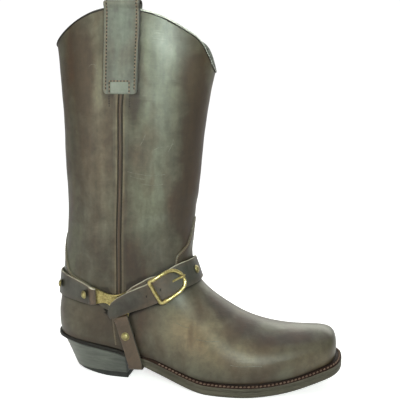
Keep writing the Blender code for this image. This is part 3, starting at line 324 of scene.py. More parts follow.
# ---------------------------------------------------------------- the last
class Last:
    """Shape of the upper: side profile, half breadth at any point of it, and rings round it."""

    SOFT = 6.0

    def __init__(self):
        cols = {n: column(LEVELS, LEVEL_COLUMNS, n) for n in LEVEL_COLUMNS[1:]}
        step = (np.hypot(np.diff(cols["back_x"]), np.diff(cols["back_z"])) + np.hypot(np.diff(cols["front_x"]), np.diff(cols["front_z"]))) / 2
        t = np.concatenate([[0], np.cumsum(step)])
        self.level = t / t[-1]
        self.at = {n: spline(self.level, v) for n, v in cols.items()}
        self.outer = spline(column(FOOT, FOOT_COLUMNS, "x"), column(FOOT, FOOT_COLUMNS, "outer_y"))
        self.inner = spline(column(FOOT, FOOT_COLUMNS, "x"), column(FOOT, FOOT_COLUMNS, "inner_y"))
        self.ridge = spline(column(FOOT, FOOT_COLUMNS, "x"), column(FOOT, FOOT_COLUMNS, "ridge_y"))
        self.shaft = spline(column(SHAFT, SHAFT_COLUMNS, "z"), column(SHAFT, SHAFT_COLUMNS, "half_w"))
        self.tread_raw = spline(column(TREAD, TREAD_COLUMNS, "x"), column(TREAD, TREAD_COLUMNS, "z"))
        self.collar_rise = spline(column(COLLAR, COLLAR_COLUMNS, "share"), column(COLLAR, COLLAR_COLUMNS, "rise"))
        self.back_edge = self._edge("back")
        self.front_edge = self._edge("front")

    def tread(self, x):
        return np.maximum(self.tread_raw(x), 0.0)

    def sole_top(self, x):
        return self.tread(x) + SEAT_T + (SOLE_T - SEAT_T) * smooth(80, 106, x)

    def welt_t(self, x):
        return WELT_T * smooth(82, 114, x)

    def feather(self, x):
        return self.sole_top(x) + GAP + self.welt_t(x) + GAP * smooth(82, 96, x)

    def _edge(self, which):
        t = np.linspace(0, 1, 620)
        x, z = self.at[which + "_x"](t), self.at[which + "_z"](t)
        r = self.at[which + "_r"](t)
        p = self.at["front_p"](t) if which == "front" else np.full_like(t, 2.0)
        e = np.linspace(60, 1, 60)
        lead = (x[0] + 0 * e, z[0] - e, r[0] + 0 * e, p[0] + 0 * e)
        tail = (x[-1] + 0 * e, z[-1] + e[::-1], r[-1] + 0 * e, p[-1] + 0 * e)
        x, z, r, p = (np.concatenate(v) for v in zip(lead, (x, z, r, p), tail))
        ds = np.gradient(np.concatenate([[0], np.cumsum(np.hypot(np.diff(x), np.diff(z)))]))
        return x, z, r, p, ds

    def _soft(self, edge, x, z):
        ex, ez, er, ep, ds = edge
        k = self.SOFT
        unit_k = math.sqrt(math.pi) * math.gamma((k - 1) / 2) / math.gamma(k / 2)
        out = np.empty((3, len(x)))
        for i in range(0, len(x), 4000):
            d = np.hypot(x[i : i + 4000, None] - ex, z[i : i + 4000, None] - ez)
            w = np.maximum(d, 1e-3) ** -k * ds
            total = w.sum(1)
            soft = (total / unit_k) ** (-1 / (k - 1))
            j = d.argmin(1)
            a, b = np.clip(j - 1, 0, len(ex) - 1), np.clip(j + 1, 0, len(ex) - 1)
            tx, tz = ex[b] - ex[a], ez[b] - ez[a]
            true = np.abs((x[i : i + 4000] - ex[j]) * tz - (z[i : i + 4000] - ez[j]) * tx) / np.hypot(tx, tz)
            true = np.minimum(true, d.min(1))
            near = smooth(0.8, 3.6, true)
            out[0, i : i + 4000] = true + (soft - true) * near
            out[1, i : i + 4000] = (w * er).sum(1) / total
            out[2, i : i + 4000] = (w * ep).sum(1) / total
        return out

    def breadth(self, x, z):
        x, z = np.broadcast_arrays(np.asarray(x, float), np.asarray(z, float))
        shape, x, z = x.shape, x.ravel(), z.ravel()
        df, rf, pf = self._soft(self.front_edge, x, z)
        db, rb, pb = self._soft(self.back_edge, x, z)
        high = smooth(66, 158, z)
        half = self.shaft(z)
        mid = self.ridge(x) * (1 - high)
        tuck = 1 - TUCK * (1 - np.clip((z - self.feather(x)) / TUCK_H, 0, 1)) ** 2
        back = cap(db / rb, pb)
        fore = 1 - smooth(110, 170, z)
        outer = (mid - (self.outer(x) * (1 - high) - half * high)) * tuck * back * cap(df / (rf * (1 + 0.10 * fore)), pf)
        inner = ((self.inner(x) * (1 - high) + half * high) - mid) * tuck * back * cap(df / (rf * (1 - 0.08 * fore)), pf)
        return (mid - outer).reshape(shape), (mid + inner).reshape(shape)

    def row(self, t, s):
        bx, bz, fx, fz = (float(self.at[n](t)) for n in ("back_x", "back_z", "front_x", "front_z"))
        b0, f0 = float(self.at["back_x"](0)), float(self.at["front_x"](0))
        x = bx + (fx - bx) * s
        z = bz + (fz - bz) * s
        ends = self.feather(b0) + (self.feather(f0) - self.feather(b0)) * s
        low = max(0.0, 1 - t / 0.42) ** 1.6
        top = smooth(0.62, 1.0, t) ** 1.5
        return x, z + low * (self.feather(b0 + (f0 - b0) * s) - ends) + top * self.collar_rise(s)

    def ring(self, t, per_side):
        u = np.linspace(0, 1, 500)
        s = u**2 * (3 - 2 * u)
        s = 0.35 * s + 0.65 * (1 - np.cos(np.pi * u)) / 2
        x, z = self.row(t, s)
        x[0], x[-1] = float(self.at["back_x"](t)), float(self.at["front_x"](t))
        outer, inner = self.breadth(x, z)
        high = smooth(66, 158, z)
        mid = self.ridge(x) * (1 - high)
        sides = []
        for y in (outer, inner):
            y = y.copy()
            y[0], y[-1] = mid[0], mid[-1]
            p = np.stack([x, y, z], 1)
            seg = np.linalg.norm(np.diff(p, axis=0), axis=1)
            tan = np.diff(p, axis=0) / np.maximum(seg, 1e-9)[:, None]
            turn = np.linalg.norm(np.diff(tan, axis=0), axis=1) / np.maximum((seg[1:] + seg[:-1]) / 2, 1e-6)
            turn = np.convolve(np.pad(np.clip(np.concatenate([turn[:1], turn]), 0, 0.2), 6, mode="edge"), np.ones(13) / 13, "valid")
            weight = seg * np.sqrt(1 + (26 * turn) ** 2)
            c = np.concatenate([[0], np.cumsum(weight)])
            q = np.linspace(0, c[-1], per_side + 1)
            sides.append(np.stack([np.interp(q, c, p[:, i]) for i in range(3)], 1))
        return np.concatenate([sides[0], sides[1][-2:0:-1]])

    def rings(self, levels, per_side):
        return np.array([self.ring(t, per_side) for t in levels])

    @staticmethod
    def normals(grid):
        du = np.roll(grid, -1, 1) - np.roll(grid, 1, 1)
        dv = np.gradient(grid, axis=0)
        return unit(np.cross(du, dv))


LAST = Last()

# the row frame in last axes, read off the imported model
_lift_hi = np.array(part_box("heel_top_lift")[1]) / MM
_out_lo, _in_hi = np.array(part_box("pull_strap_outer")[0]) / MM, np.array(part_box("pull_strap_inner")[1]) / MM
SHIFT = np.array([HEEL_BREAST_X - _lift_hi[0], -(_out_lo[1] + _in_hi[1]) / 2, 0.0])


# ---------------------------------------------------------------- materials
def new_material(name):
    m = bpy.data.materials.new(name)
    m.use_nodes = True
    t = m.node_tree
    return m, t, t.nodes["Principled BSDF"]


def add(tree, kind, **values):
    """A shader node with its properties (lower case) and inputs (by name or number) set."""
    n = tree.nodes.new(kind)
    for k, v in values.items():
        if k == "inputs":
            for name, value in v.items():
                if isinstance(value, bpy.types.NodeSocket):
                    tree.links.new(value, n.inputs[name])
                else:
                    n.inputs[name].default_value = value
        else:
            setattr(n, k, v)
    return n


def math_node(tree, op, a, b=0.0, clamp=False):
    return add(tree, "ShaderNodeMath", operation=op, use_clamp=clamp, inputs={0: a, 1: b}).outputs[0]


def mix_colour(tree, fac, a, b, blend="MIX"):
    n = add(tree, "ShaderNodeMix", data_type="RGBA", blend_type=blend)
    for socket, value in ((n.inputs[0], fac), (n.inputs[6], a), (n.inputs[7], b)):
        if isinstance(value, bpy.types.NodeSocket):
            tree.links.new(value, socket)
        else:
            socket.default_value = value if not isinstance(value, tuple) else (*value, 1)[:4]
    return n.outputs[2]


def coords(tree, scale=(1, 1, 1), turn=(0, 0, 0)):
    c = add(tree, "ShaderNodeTexCoord").outputs["Object"]
    return add(tree, "ShaderNodeMapping", inputs={"Vector": c, "Scale": scale, "Rotation": turn}).outputs[0]


def noise(tree, vector, scale, detail=3.0, rough=0.55, distortion=0.0):
    return add(tree, "ShaderNodeTexNoise", inputs={"Vector": vector, "Scale": scale, "Detail": detail, "Roughness": rough, "Distortion": distortion}).outputs[0]


def span(tree, value, lo, hi, to_lo=0.0, to_hi=1.0, smooth_step=True):
    n = add(tree, "ShaderNodeMapRange", inputs={0: value, 1: lo, 2: hi, 3: to_lo, 4: to_hi})
    n.interpolation_type = "SMOOTHSTEP" if smooth_step else "LINEAR"
    return n.outputs[0]


def attribute(tree, name):
    return add(tree, "ShaderNodeAttribute", attribute_name=name).outputs["Fac"]


def bump(tree, height, strength, distance, normal=None):
    n = add(tree, "ShaderNodeBump", inputs={"Height": height, "Strength": strength, "Distance": distance})
    if normal is not None:
        tree.links.new(normal, n.inputs["Normal"])
    return n.outputs[0]


def waxed_leather(name, brown, haze_and_painted_light, tan, rough=0.43, coat=0.20, seed=0.0, grain=1.0, contrast=1.0):
    """Oiled pull-up leather: cloudy browns under a greyish bloom, with fine rubs and a tight grain.

    The mesh may carry values for each point: haze (0 to 1, 0.5 plain), tan, wear, pale and shade. Haze also carries
    painted sheen and painted shade, wear in places a painted highlight or reflection, and shade is painted shade along
    the straps."""
    m, t, shader = new_material(name)
    move = coords(t)
    move = add(t, "ShaderNodeVectorMath", operation="ADD", inputs={0: move, 1: (seed, seed * 0.7, seed * 1.3)}).outputs[0]
    tall = add(t, "ShaderNodeVectorMath", operation="MULTIPLY", inputs={0: move, 1: (1.0, 1.0, 0.32)}).outputs[0]
    broad = noise(t, tall, 17.0, 3.0, 0.55, 0.6)
    cloud = noise(t, move, 62.0, 4.0, 0.6, 0.4)
    fine = noise(t, move, 260.0, 3.0, 0.6)
    level = math_node(t, "ADD", math_node(t, "MULTIPLY", broad, 0.62), math_node(t, "MULTIPLY", cloud, 0.38))
    haze_and_painted_light_at = attribute(t, "haze_and_painted_light")
    level = math_node(t, "ADD", math_node(t, "MULTIPLY", math_node(t, "SUBTRACT", level, 0.5), 2.0 * contrast), haze_and_painted_light_at)
    fac = span(t, level, 0.18, 0.92)
    colour = mix_colour(t, fac, brown, haze_and_painted_light)
    warm = math_node(t, "MULTIPLY", attribute(t, "tan"), span(t, cloud, 0.25, 0.62, 0.55, 1.0), clamp=True)
    colour = mix_colour(t, warm, colour, tan)
    # reddish patches where the wax has thinned
    red = math_node(t, "MULTIPLY", span(t, noise(t, tall, 31.0, 2.0, 0.5, 0.8), 0.50, 0.72), 0.50 * contrast, clamp=True)
    colour = mix_colour(t, red, colour, tuple(c * k for c, k in zip(brown, (1.70, 1.20, 0.95))))
    # hairline rubs: long thin streaks, two ways
    rubs = None
    for turn, stretch, cut in (((0.2, 0.5, 0.3), (30, 260, 900), 0.70), ((1.1, 0.2, 0.9), (700, 240, 26), 0.71)):
        s = noise(t, coords(t, stretch, turn), 1.0, 2.0, 0.5)
        s = span(t, s, cut, cut + 0.05)
        rubs = s if rubs is None else math_node(t, "MAXIMUM", rubs, s)
    rubs = math_node(t, "MULTIPLY", rubs, span(t, cloud, 0.45, 0.7, 0.0, 0.30))
    colour = mix_colour(t, rubs, colour, tuple(min(1.0, c * 1.25) for c in haze_and_painted_light))
    wear_and_sheen = math_node(t, "MULTIPLY", attribute(t, "wear_and_sheen"), span(t, fine, 0.25, 0.65, 0.55, 1.0), clamp=True)
    colour = mix_colour(t, wear_and_sheen, colour, tan)
    tone = span(t, fine, 0.25, 0.75, 0.88, 1.10, False)
    streak = noise(t, add(t, "ShaderNodeVectorMath", operation="MULTIPLY", inputs={0: move, 1: (1.0, 1.0, 0.13)}).outputs[0], 150.0, 3.0, 0.6)
    height = add(t, "ShaderNodeSeparateXYZ", inputs={0: coords(t)}).outputs["Z"]
    streak = math_node(t, "MULTIPLY", math_node(t, "SUBTRACT", span(t, streak, 0.30, 0.70, 0.80, 1.16, False), 1.0), span(t, height, 0.085, 0.14))
    tone = math_node(t, "MULTIPLY", tone, math_node(t, "ADD", streak, 1.0))
    mottle = noise(t, move, 135.0, 3.0, 0.65, 0.5)
    tone = math_node(t, "MULTIPLY", tone, span(t, mottle, 0.32, 0.68, 0.86, 1.12, False))
    colour = mix_colour(t, 1.0, colour, add(t, "ShaderNodeCombineColor", inputs={0: tone, 1: tone, 2: tone}).outputs[0], "MULTIPLY")
    colour = mix_colour(t, attribute(t, "pale"), colour, tuple(min(1.0, c * 1.7) for c in haze_and_painted_light))
    # painted shade along the straps: the colour drops towards near-black brown; the same mask below makes it rougher
    # and takes the coat off
    colour = mix_colour(t, math_node(t, "MULTIPLY", attribute(t, "shade"), 0.95), colour, tuple(c * 0.10 for c in brown))
    t.links.new(colour, shader.inputs["Base Color"])
    r = math_node(t, "ADD", span(t, level, 0.1, 0.95, rough + 0.05, rough - 0.05), math_node(t, "MULTIPLY", math_node(t, "SUBTRACT", fine, 0.5), 0.12))
    r = math_node(t, "ADD", r, math_node(t, "MULTIPLY", attribute(t, "shade"), 0.45), clamp=True)
    t.links.new(r, shader.inputs["Roughness"])
    t.links.new(math_node(t, "MULTIPLY", math_node(t, "SUBTRACT", 1.0, attribute(t, "shade")), coat), shader.inputs["Coat Weight"])
    shader.inputs["Coat Roughness"].default_value = 0.34
    shader.inputs["Specular IOR Level"].default_value = 0.46
    cells = add(t, "ShaderNodeTexVoronoi", feature="DISTANCE_TO_EDGE", inputs={"Vector": move, "Scale": 900.0}).outputs["Distance"]
    pores = span(t, cells, 0.0, 0.32)
    n = bump(t, noise(t, move, 95.0, 3.0, 0.55), 0.22, 0.0011)
    level_lines = noise(t, coords(t, (38.0, 38.0, 520.0), (0.0, 0.0, 0.0)), 1.0, 3.0, 0.55, 0.5)
    lines = math_node(t, "MULTIPLY", span(t, level_lines, 0.50, 0.62), span(t, noise(t, move, 30.0, 2.0, 0.5), 0.44, 0.62))
    n = bump(t, lines, 0.15, 0.0005, n)
    n = bump(t, pores, 0.10 * grain, 0.0003, n)
    n = bump(t, noise(t, move, 1900.0, 2.0, 0.6), 0.10 * grain, 0.0003, n)
    t.links.new(n, shader.inputs["Normal"])
    return m


def plain_leather(name, dark, light, rough, scale=80.0, stretch=(1, 1, 1), grain=0.2, coat=0.0, shine=0.5):
    """Leather with a simple mottle and grain, for linings, edges and soles."""
    m, t, shader = new_material(name)
    c = coords(t, stretch)
    a = noise(t, c, scale, 4.0, 0.6, 0.3)
    b = noise(t, c, scale * 6, 3.0, 0.6)
    level = math_node(t, "ADD", math_node(t, "MULTIPLY", a, 0.65), math_node(t, "MULTIPLY", b, 0.35))
    colour = mix_colour(t, span(t, level, 0.3, 0.7), dark, light)
    # wear lightens for rubs and, in places, as a painted highlight or reflection; dark darkens for the sole's black
    # seat and as painted shade
    wear_and_sheen = math_node(t, "MULTIPLY", attribute(t, "wear_and_sheen"), 1.0, clamp=True)
    colour = mix_colour(t, wear_and_sheen, colour, tuple(min(1.0, v * 2.2) for v in light))
    shade = math_node(t, "MULTIPLY", attribute(t, "dark"), 1.0, clamp=True)
    colour = mix_colour(t, shade, colour, tuple(v * 0.16 for v in dark))
    t.links.new(colour, shader.inputs["Base Color"])
    t.links.new(span(t, b, 0.3, 0.7, rough - 0.06, rough + 0.08), shader.inputs["Roughness"])
    shader.inputs["Specular IOR Level"].default_value = shine
    shader.inputs["Coat Weight"].default_value = coat
    shader.inputs["Coat Roughness"].default_value = 0.35
    n = bump(t, noise(t, coords(t, stretch), scale * 14, 3.0, 0.6), grain, 0.0004)
    t.links.new(n, shader.inputs["Normal"])
    return m


def brass(name, bright, dull, rough, hatch=0.0):
    """Antiqued brass: bright metal with a brown film in patches; hatch roughens a stamped ground."""
    m, t, shader = new_material(name)
    c = coords(t)
    a = noise(t, c, 240.0, 4.0, 0.65, 0.5)
    b = noise(t, c, 1400.0, 3.0, 0.6)
    film = span(t, math_node(t, "ADD", math_node(t, "MULTIPLY", a, 0.6), math_node(t, "MULTIPLY", b, 0.4)), 0.40, 0.66)
    colour = mix_colour(t, film, bright, dull)
    n = bump(t, b, 0.12, 0.0002)
    if hatch:
        lines = []
        for turn in ((0, 0.9, 0), (0, -0.7, 0)):
            w = add(t, "ShaderNodeTexWave", wave_type="BANDS", bands_direction="X", inputs={"Vector": coords(t, (1, 1, 1), turn), "Scale": 330.0, "Distortion": 1.6, "Detail": 2.0, "Detail Scale": 2.0})
            lines.append(w.outputs["Fac"])
        cross = math_node(t, "MULTIPLY", lines[0], lines[1])
        grains = math_node(t, "ADD", math_node(t, "MULTIPLY", cross, 0.7), math_node(t, "MULTIPLY", noise(t, c, 900.0, 3.0, 0.6), 0.5))
        colour = mix_colour(t, span(t, grains, 0.45, 0.20, 0.0, 0.75), colour, tuple(v * 0.28 for v in dull))
        n = bump(t, grains, hatch, 0.0006, n)
    t.links.new(colour, shader.inputs["Base Color"])
    shader.inputs["Metallic"].default_value = 1.0
    t.links.new(span(t, film, 0.0, 1.0, rough, rough + 0.18), shader.inputs["Roughness"])
    t.links.new(n, shader.inputs["Normal"])
    return m


def thread(name, rgb, rough=0.75):
    m, t, shader = new_material(name)
    w = noise(t, coords(t), 1500.0, 3.0, 0.6)
    t.links.new(mix_colour(t, span(t, w, 0.3, 0.7), tuple(v * 0.72 for v in rgb), tuple(min(1.0, v * 1.15) for v in rgb)), shader.inputs["Base Color"])
    shader.inputs["Roughness"].default_value = rough
    t.links.new(bump(t, w, 0.3, 0.0003), shader.inputs["Normal"])
    return m


BROWN, HAZE, TAN = (0.0275, 0.0156, 0.0072), (0.088, 0.086, 0.058), (0.170, 0.124, 0.068)
SKIN = waxed_leather("waxed upper leather", BROWN, HAZE, TAN)
STRAP = waxed_leather("waxed strap leather", (0.017, 0.0130, 0.0085), (0.046, 0.043, 0.034), (0.088, 0.053, 0.032), rough=0.46, coat=0.20, seed=3.1, grain=1.3, contrast=1.7)
RAW_EDGE = plain_leather("raw strap edge", (0.110, 0.094, 0.070), (0.215, 0.190, 0.148), 0.7, 220.0, grain=0.4)
DARK_EDGE = plain_leather("dark strap edge", (0.012, 0.009, 0.007), (0.030, 0.024, 0.018), 0.65, 220.0, grain=0.4)
PIPING = plain_leather("piping leather", (0.024, 0.0125, 0.0065), (0.050, 0.0285, 0.0150), 0.45, 120.0, (1, 1, 0.3), 0.2, 0.1)
SEAM_DARK = plain_leather("seam shadow", (0.008, 0.006, 0.004), (0.018, 0.013, 0.009), 0.8, 200.0)
LINING = plain_leather("lining leather", (0.115, 0.105, 0.085), (0.185, 0.172, 0.142), 0.7, 60.0, grain=0.25)
RIM = plain_leather("collar edge", (0.27, 0.265, 0.23), (0.44, 0.435, 0.39), 0.5, 120.0, grain=0.2)
WELT = plain_leather("welt leather", (0.014, 0.0060, 0.0040), (0.032, 0.0145, 0.0095), 0.62, 160.0, (0.4, 1, 1), 0.3, 0.0, 0.14)
SOLE = plain_leather("dressed sole edge", (0.0430, 0.0365, 0.0255), (0.090, 0.0800, 0.0580), 0.50, 90.0, (0.25, 0.6, 1.6), 0.35, 0.0, 0.28)
HEEL = plain_leather("stacked heel", (0.054, 0.056, 0.048), (0.125, 0.130, 0.112), 0.40, 90.0, (0.35, 0.5, 2.4), 0.25, 0.12)
RUBBER = plain_leather("top lift rubber", (0.012, 0.012, 0.011), (0.026, 0.027, 0.025), 0.6, 160.0)
INSOLE = plain_leather("insole leather", (0.24, 0.16, 0.095), (0.40, 0.29, 0.18), 0.75, 50.0)
BRASS_RIM = brass("antique brass, polished", (0.62, 0.52, 0.23), (0.27, 0.205, 0.080), 0.27)
BRASS_FACE = brass("antique brass, stamped ground", (0.58, 0.49, 0.215), (0.25, 0.195, 0.078), 0.36, hatch=0.32)
BRASS_STUD = brass("antique brass, studs", (0.42, 0.37, 0.175), (0.18, 0.145, 0.068), 0.34)
PRESSED = plain_leather("pressed sewing line", (0.110, 0.070, 0.044), (0.180, 0.122, 0.080), 0.5, 240.0)
SCRATCH = plain_leather("scratched leather", (0.050, 0.046, 0.034), (0.165, 0.155, 0.120), 0.6, 420.0)
HOLE = plain_leather("strap hole", (0.006, 0.005, 0.004), (0.014, 0.011, 0.009), 0.9, 300.0)
THREAD_DARK = thread("dark thread", (0.040, 0.022, 0.014))
THREAD_BLACK = thread("black thread", (0.012, 0.009, 0.007))
THREAD_TAN = thread("tan thread", (0.25, 0.155, 0.085))
THREAD_WELT = thread("welt thread", (0.180, 0.105, 0.075))


# ---------------------------------------------------------------- mesh helpers
def piece(name, points, faces, mats, nodes=(), sharp=40, index=None, values=None):
    """One shown object from points in last millimetres; index gives each face's material, values each point's numbers."""
    me = bpy.data.meshes.new(name)
    me.from_pydata(((np.asarray(points, float) - SHIFT) * MM).tolist(), [], [tuple(int(i) for i in f) for f in faces])
    for m in mats if isinstance(mats, (list, tuple)) else [mats]:
        me.materials.append(m)
    if index is not None:
        me.polygons.foreach_set("material_index", np.asarray(index, np.int32))
    for key, v in (values or {}).items():
        layer = me.attributes.new(key, "FLOAT", "POINT")
        layer.data.foreach_set("value", np.asarray(v, np.float32))
    me.shade_smooth()
    if sharp:
        me.set_sharp_from_angle(angle=math.radians(sharp))
    me.update()
    ob = bpy.data.objects.new(name, me)
    bpy.context.scene.collection.objects.link(ob)
    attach(ob, "root")
    if nodes:
        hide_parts(*nodes)
    return ob


def bvh(points, faces):
    return BVHTree.FromPolygons([Vector(p) for p in np.asarray(points, float)], [tuple(int(i) for i in f) for f in faces])


def cad_tree(names):
    """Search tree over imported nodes, in last millimetres."""
    pts, faces = [], []
    for n in names:
        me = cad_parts[n].data
        base = len(pts)
        pts += [np.array(v.co) / MM + SHIFT for v in me.vertices]
        faces += [tuple(i + base for i in p.vertices) for p in me.polygons]
    return bvh(pts, faces)


def loop_faces(rings, around, closed=False, caps=True):
    """Quads between successive closed rings of points, with end caps on an open run."""
    f = []
    for i in range(rings if closed else rings - 1):
        a, b = i * around, ((i + 1) % rings) * around
        f += [(a + j, a + (j + 1) % around, b + (j + 1) % around, b + j) for j in range(around)]
    if not closed and caps:
        f.append(tuple(range(around))[::-1])
        f.append(tuple(range((rings - 1) * around, rings * around)))
    return f


def facing_out(points, faces):
    """The faces turned so that they point out of the closed shape."""
    p = np.asarray(points, float)
    c = p.mean(0)
    vol = 0.0
    for f in faces:
        for i in range(1, len(f) - 1):
            vol += np.dot(p[f[0]] - c, np.cross(p[f[i]] - c, p[f[i + 1]] - c))
    return faces if vol > 0 else [f[::-1] for f in faces]


class Sewing:
    """Stitches gathered into one mesh."""

    AROUND = 6
    RUN = ((-0.5, 0.30), (-0.36, 0.85), (0.0, 1.0), (0.36, 0.85), (0.5, 0.30))

    def __init__(self):
        self.points, self.faces = [], []

    def row(self, path, normals, pitch, length, radius, sink=0.25, lean=0.0):
        path, normals = np.asarray(path, float), np.asarray(normals, float)
        run = np.concatenate([[0], np.cumsum(np.linalg.norm(np.diff(path, axis=0), axis=1))])
        count = max(1, int(run[-1] / pitch))
        for k in range(count):
            s = (k + 0.5) * run[-1] / count
            p = np.array([np.interp(s, run, path[:, i]) for i in range(3)])
            a = np.array([np.interp(max(s - 1, 0), run, path[:, i]) for i in range(3)])
            b = np.array([np.interp(min(s + 1, run[-1]), run, path[:, i]) for i in range(3)])
            n = unit(np.array([np.interp(s, run, normals[:, i]) for i in range(3)]))
            tan = unit(b - a)
            side = unit(np.cross(n, tan))
            tan = unit(tan + side * lean)
            side = unit(np.cross(n, tan))
            base = len(self.points)
            for u, r in self.RUN:
                for j in range(self.AROUND):
                    th = 2 * math.pi * j / self.AROUND
                    dip = radius * (sink + 1.3 * (2 * u) ** 4 * 0.5)
                    self.points.append(p + tan * u * length + side * radius * r * math.cos(th) + n * (radius * r * math.sin(th) + radius * 0.6 - dip))
            self.faces += [tuple(i + base for i in f) for f in loop_faces(len(self.RUN), self.AROUND)]

    def make(self, name, mat, slot):
        if self.points:
            piece(name, self.points, self.faces, mat, sharp=0)


# ---------------------------------------------------------------- upper
def wobble(p):
    """Slow unevenness of the soft leather, in millimetres, larger up the shaft."""
    x, y, z = p[..., 0], p[..., 1], p[..., 2]
    soft = 0.30 + 0.55 * smooth(90, 200, z)
    w = np.sin(0.061 * x + 0.043 * z + 0.9) * np.sin(0.037 * z - 0.052 * y + 1.7) + 0.7 * np.sin(0.083 * z + 0.049 * x - 0.06 * y + 0.4) * np.sin(0.071 * x + 2.2)
    w = w + 0.35 * np.sin(0.15 * z + 0.11 * x + 0.7) * np.sin(0.13 * y + 0.09 * z)
    fade = smooth(0, 16, z - LAST.feather(np.clip(x, -10, 312)))
    out = 0.42 * w * soft * fade
    b = np.degrees(np.arctan2(-(y - HARNESS_AXIS[1]), -(x - HARNESS_AXIS[0]))) % 360
    for mid, at_z, along, across, slant, depth in CREASES:
        d = (b - mid + 180) % 360 - 180
        q = z - at_z - slant * d
        out = out - depth * np.exp(-((d / along) ** 2) * 1.6) * (np.exp(-((q / across) ** 2)) - 0.55 * np.exp(-(((q - 1.5 * across) / across) ** 2)))
    return out


def outside(core):
    """Outer face of the leather over the last: one wall out, level at the collar and the feather line."""
    out = core + Last.normals(core) * WALL
    out[0, :, 2], out[-1, :, 2] = core[0, :, 2], core[-1, :, 2]
    return out


def build_upper():
    per_side = 116
    levels = np.concatenate([np.linspace(0, 0.06, 12, endpoint=False), np.linspace(0.06, 0.5, 84, endpoint=False), np.linspace(0.5, 1.0, 66)])
    base = outside(LAST.rings(levels, per_side))
    nrm = Last.normals(base)
    outer = base + nrm * wobble(base)[..., None]
    outer[0], outer[-1] = base[0], base[-1]
    rows, cols = outer.shape[:2]
    pts = outer.reshape(-1, 3)
    faces = []
    for r in range(rows - 1):
        for c in range(cols):
            d = (c + 1) % cols
            faces.append((r * cols + c, r * cols + d, (r + 1) * cols + d, (r + 1) * cols + c))
    n0 = unit(np.cross(pts[faces[5000][1]] - pts[faces[5000][0]], pts[faces[5000][3]] - pts[faces[5000][0]]))
    if float(n0 @ nrm.reshape(-1, 3)[faces[5000][0]]) < 0:
        faces = [f[::-1] for f in faces]
    # colour patches: as listed on the outer side, and the same idea shifted on the inner side
    x, y, z = pts.T
    haze_and_painted_light, tan = np.full(len(pts), 0.5), np.zeros(len(pts))
    for _, px, pz, rx, rz, h, w in PATCHES:
        for sign, dx, dz, k in ((-1, 0, 0, 1.0), (1, 10, -14, 0.8)):
            g = np.exp(-(((x - px - dx) / rx) ** 2) - ((z - pz - dz) / rz) ** 2) * smooth(-6, 10, sign * y) * k
            haze_and_painted_light, tan = haze_and_painted_light + 0.5 * h * g, tan + w * g
    # darker just above the feather line: partly edge dye, partly painted shade in the crease above the welt
    low = 1 - smooth(0, 9, z - LAST.feather(np.clip(x, -10, 312)))
    haze_and_painted_light = np.clip(haze_and_painted_light - 0.30 * low, 0, 1)
    piece("upper_skin", pts, faces, SKIN, ("upper",), sharp=0, values={"haze_and_painted_light": haze_and_painted_light, "tan": np.clip(tan, 0, 1), "wear_and_sheen": 0 * x})

    # lining: the inside of the wall, closed to the outside at the collar and at the feather line
    rough_levels = np.linspace(0, 1, 60)
    inn = LAST.rings(rough_levels, 60)
    out = outside(inn)
    k = inn.shape[1]
    grid = np.concatenate([out[:1] - Last.normals(out)[:1] * 0.3, inn, out[-1:] - Last.normals(out)[-1:] * 0.3])
    lf = []
    for r in range(len(grid) - 1):
        for c in range(k):
            d = (c + 1) % k
            lf.append((r * k + d, r * k + c, (r + 1) * k + c, (r + 1) * k + d))
    piece("lining", grid.reshape(-1, 3), lf, LINING, ("upper",), sharp=50)
    return outer, nrm, bvh(pts, faces)


UPPER, UPPER_N, SKIN_TREE = build_upper()


def bearing_dir(deg):
    a = math.radians(deg)
    return np.array([-math.cos(a), -math.sin(a), 0.0])


def bearing_of(p):
    return math.degrees(math.atan2(-(p[1] - HARNESS_AXIS[1]), -(p[0] - HARNESS_AXIS[0])))


def around(deg, z, lift=0.0):
    """Point and normal of the skin at a bearing and height."""
    d = bearing_dir(deg)
    hit = SKIN_TREE.ray_cast(Vector(np.array([*HARNESS_AXIS, z]) + d * 260), Vector(-d), 260)
    return np.array(hit[0]) + np.array(hit[1]) * lift, np.array(hit[1])


def beside(x, z, sign):
    """Point and normal of the skin at x, z on one side."""
    hit = SKIN_TREE.ray_cast(Vector((x, sign * 220, z)), Vector((0, -sign, 0)), 240)
    return np.array(hit[0]), np.array(hit[1])


def hugged(path, lift=0.0):
    """Path laid on the skin, with normals."""
    p, n = [], []
    for q in path:
        h = SKIN_TREE.find_nearest(Vector(q))
        p.append(np.array(h[0]) + np.array(h[1]) * lift)
        n.append(np.array(h[1]))
    n = np.array(n)
    for _ in range(3):
        n[1:-1] = unit(n[:-2] + 2 * n[1:-1] + n[2:])
    return np.array(p), n


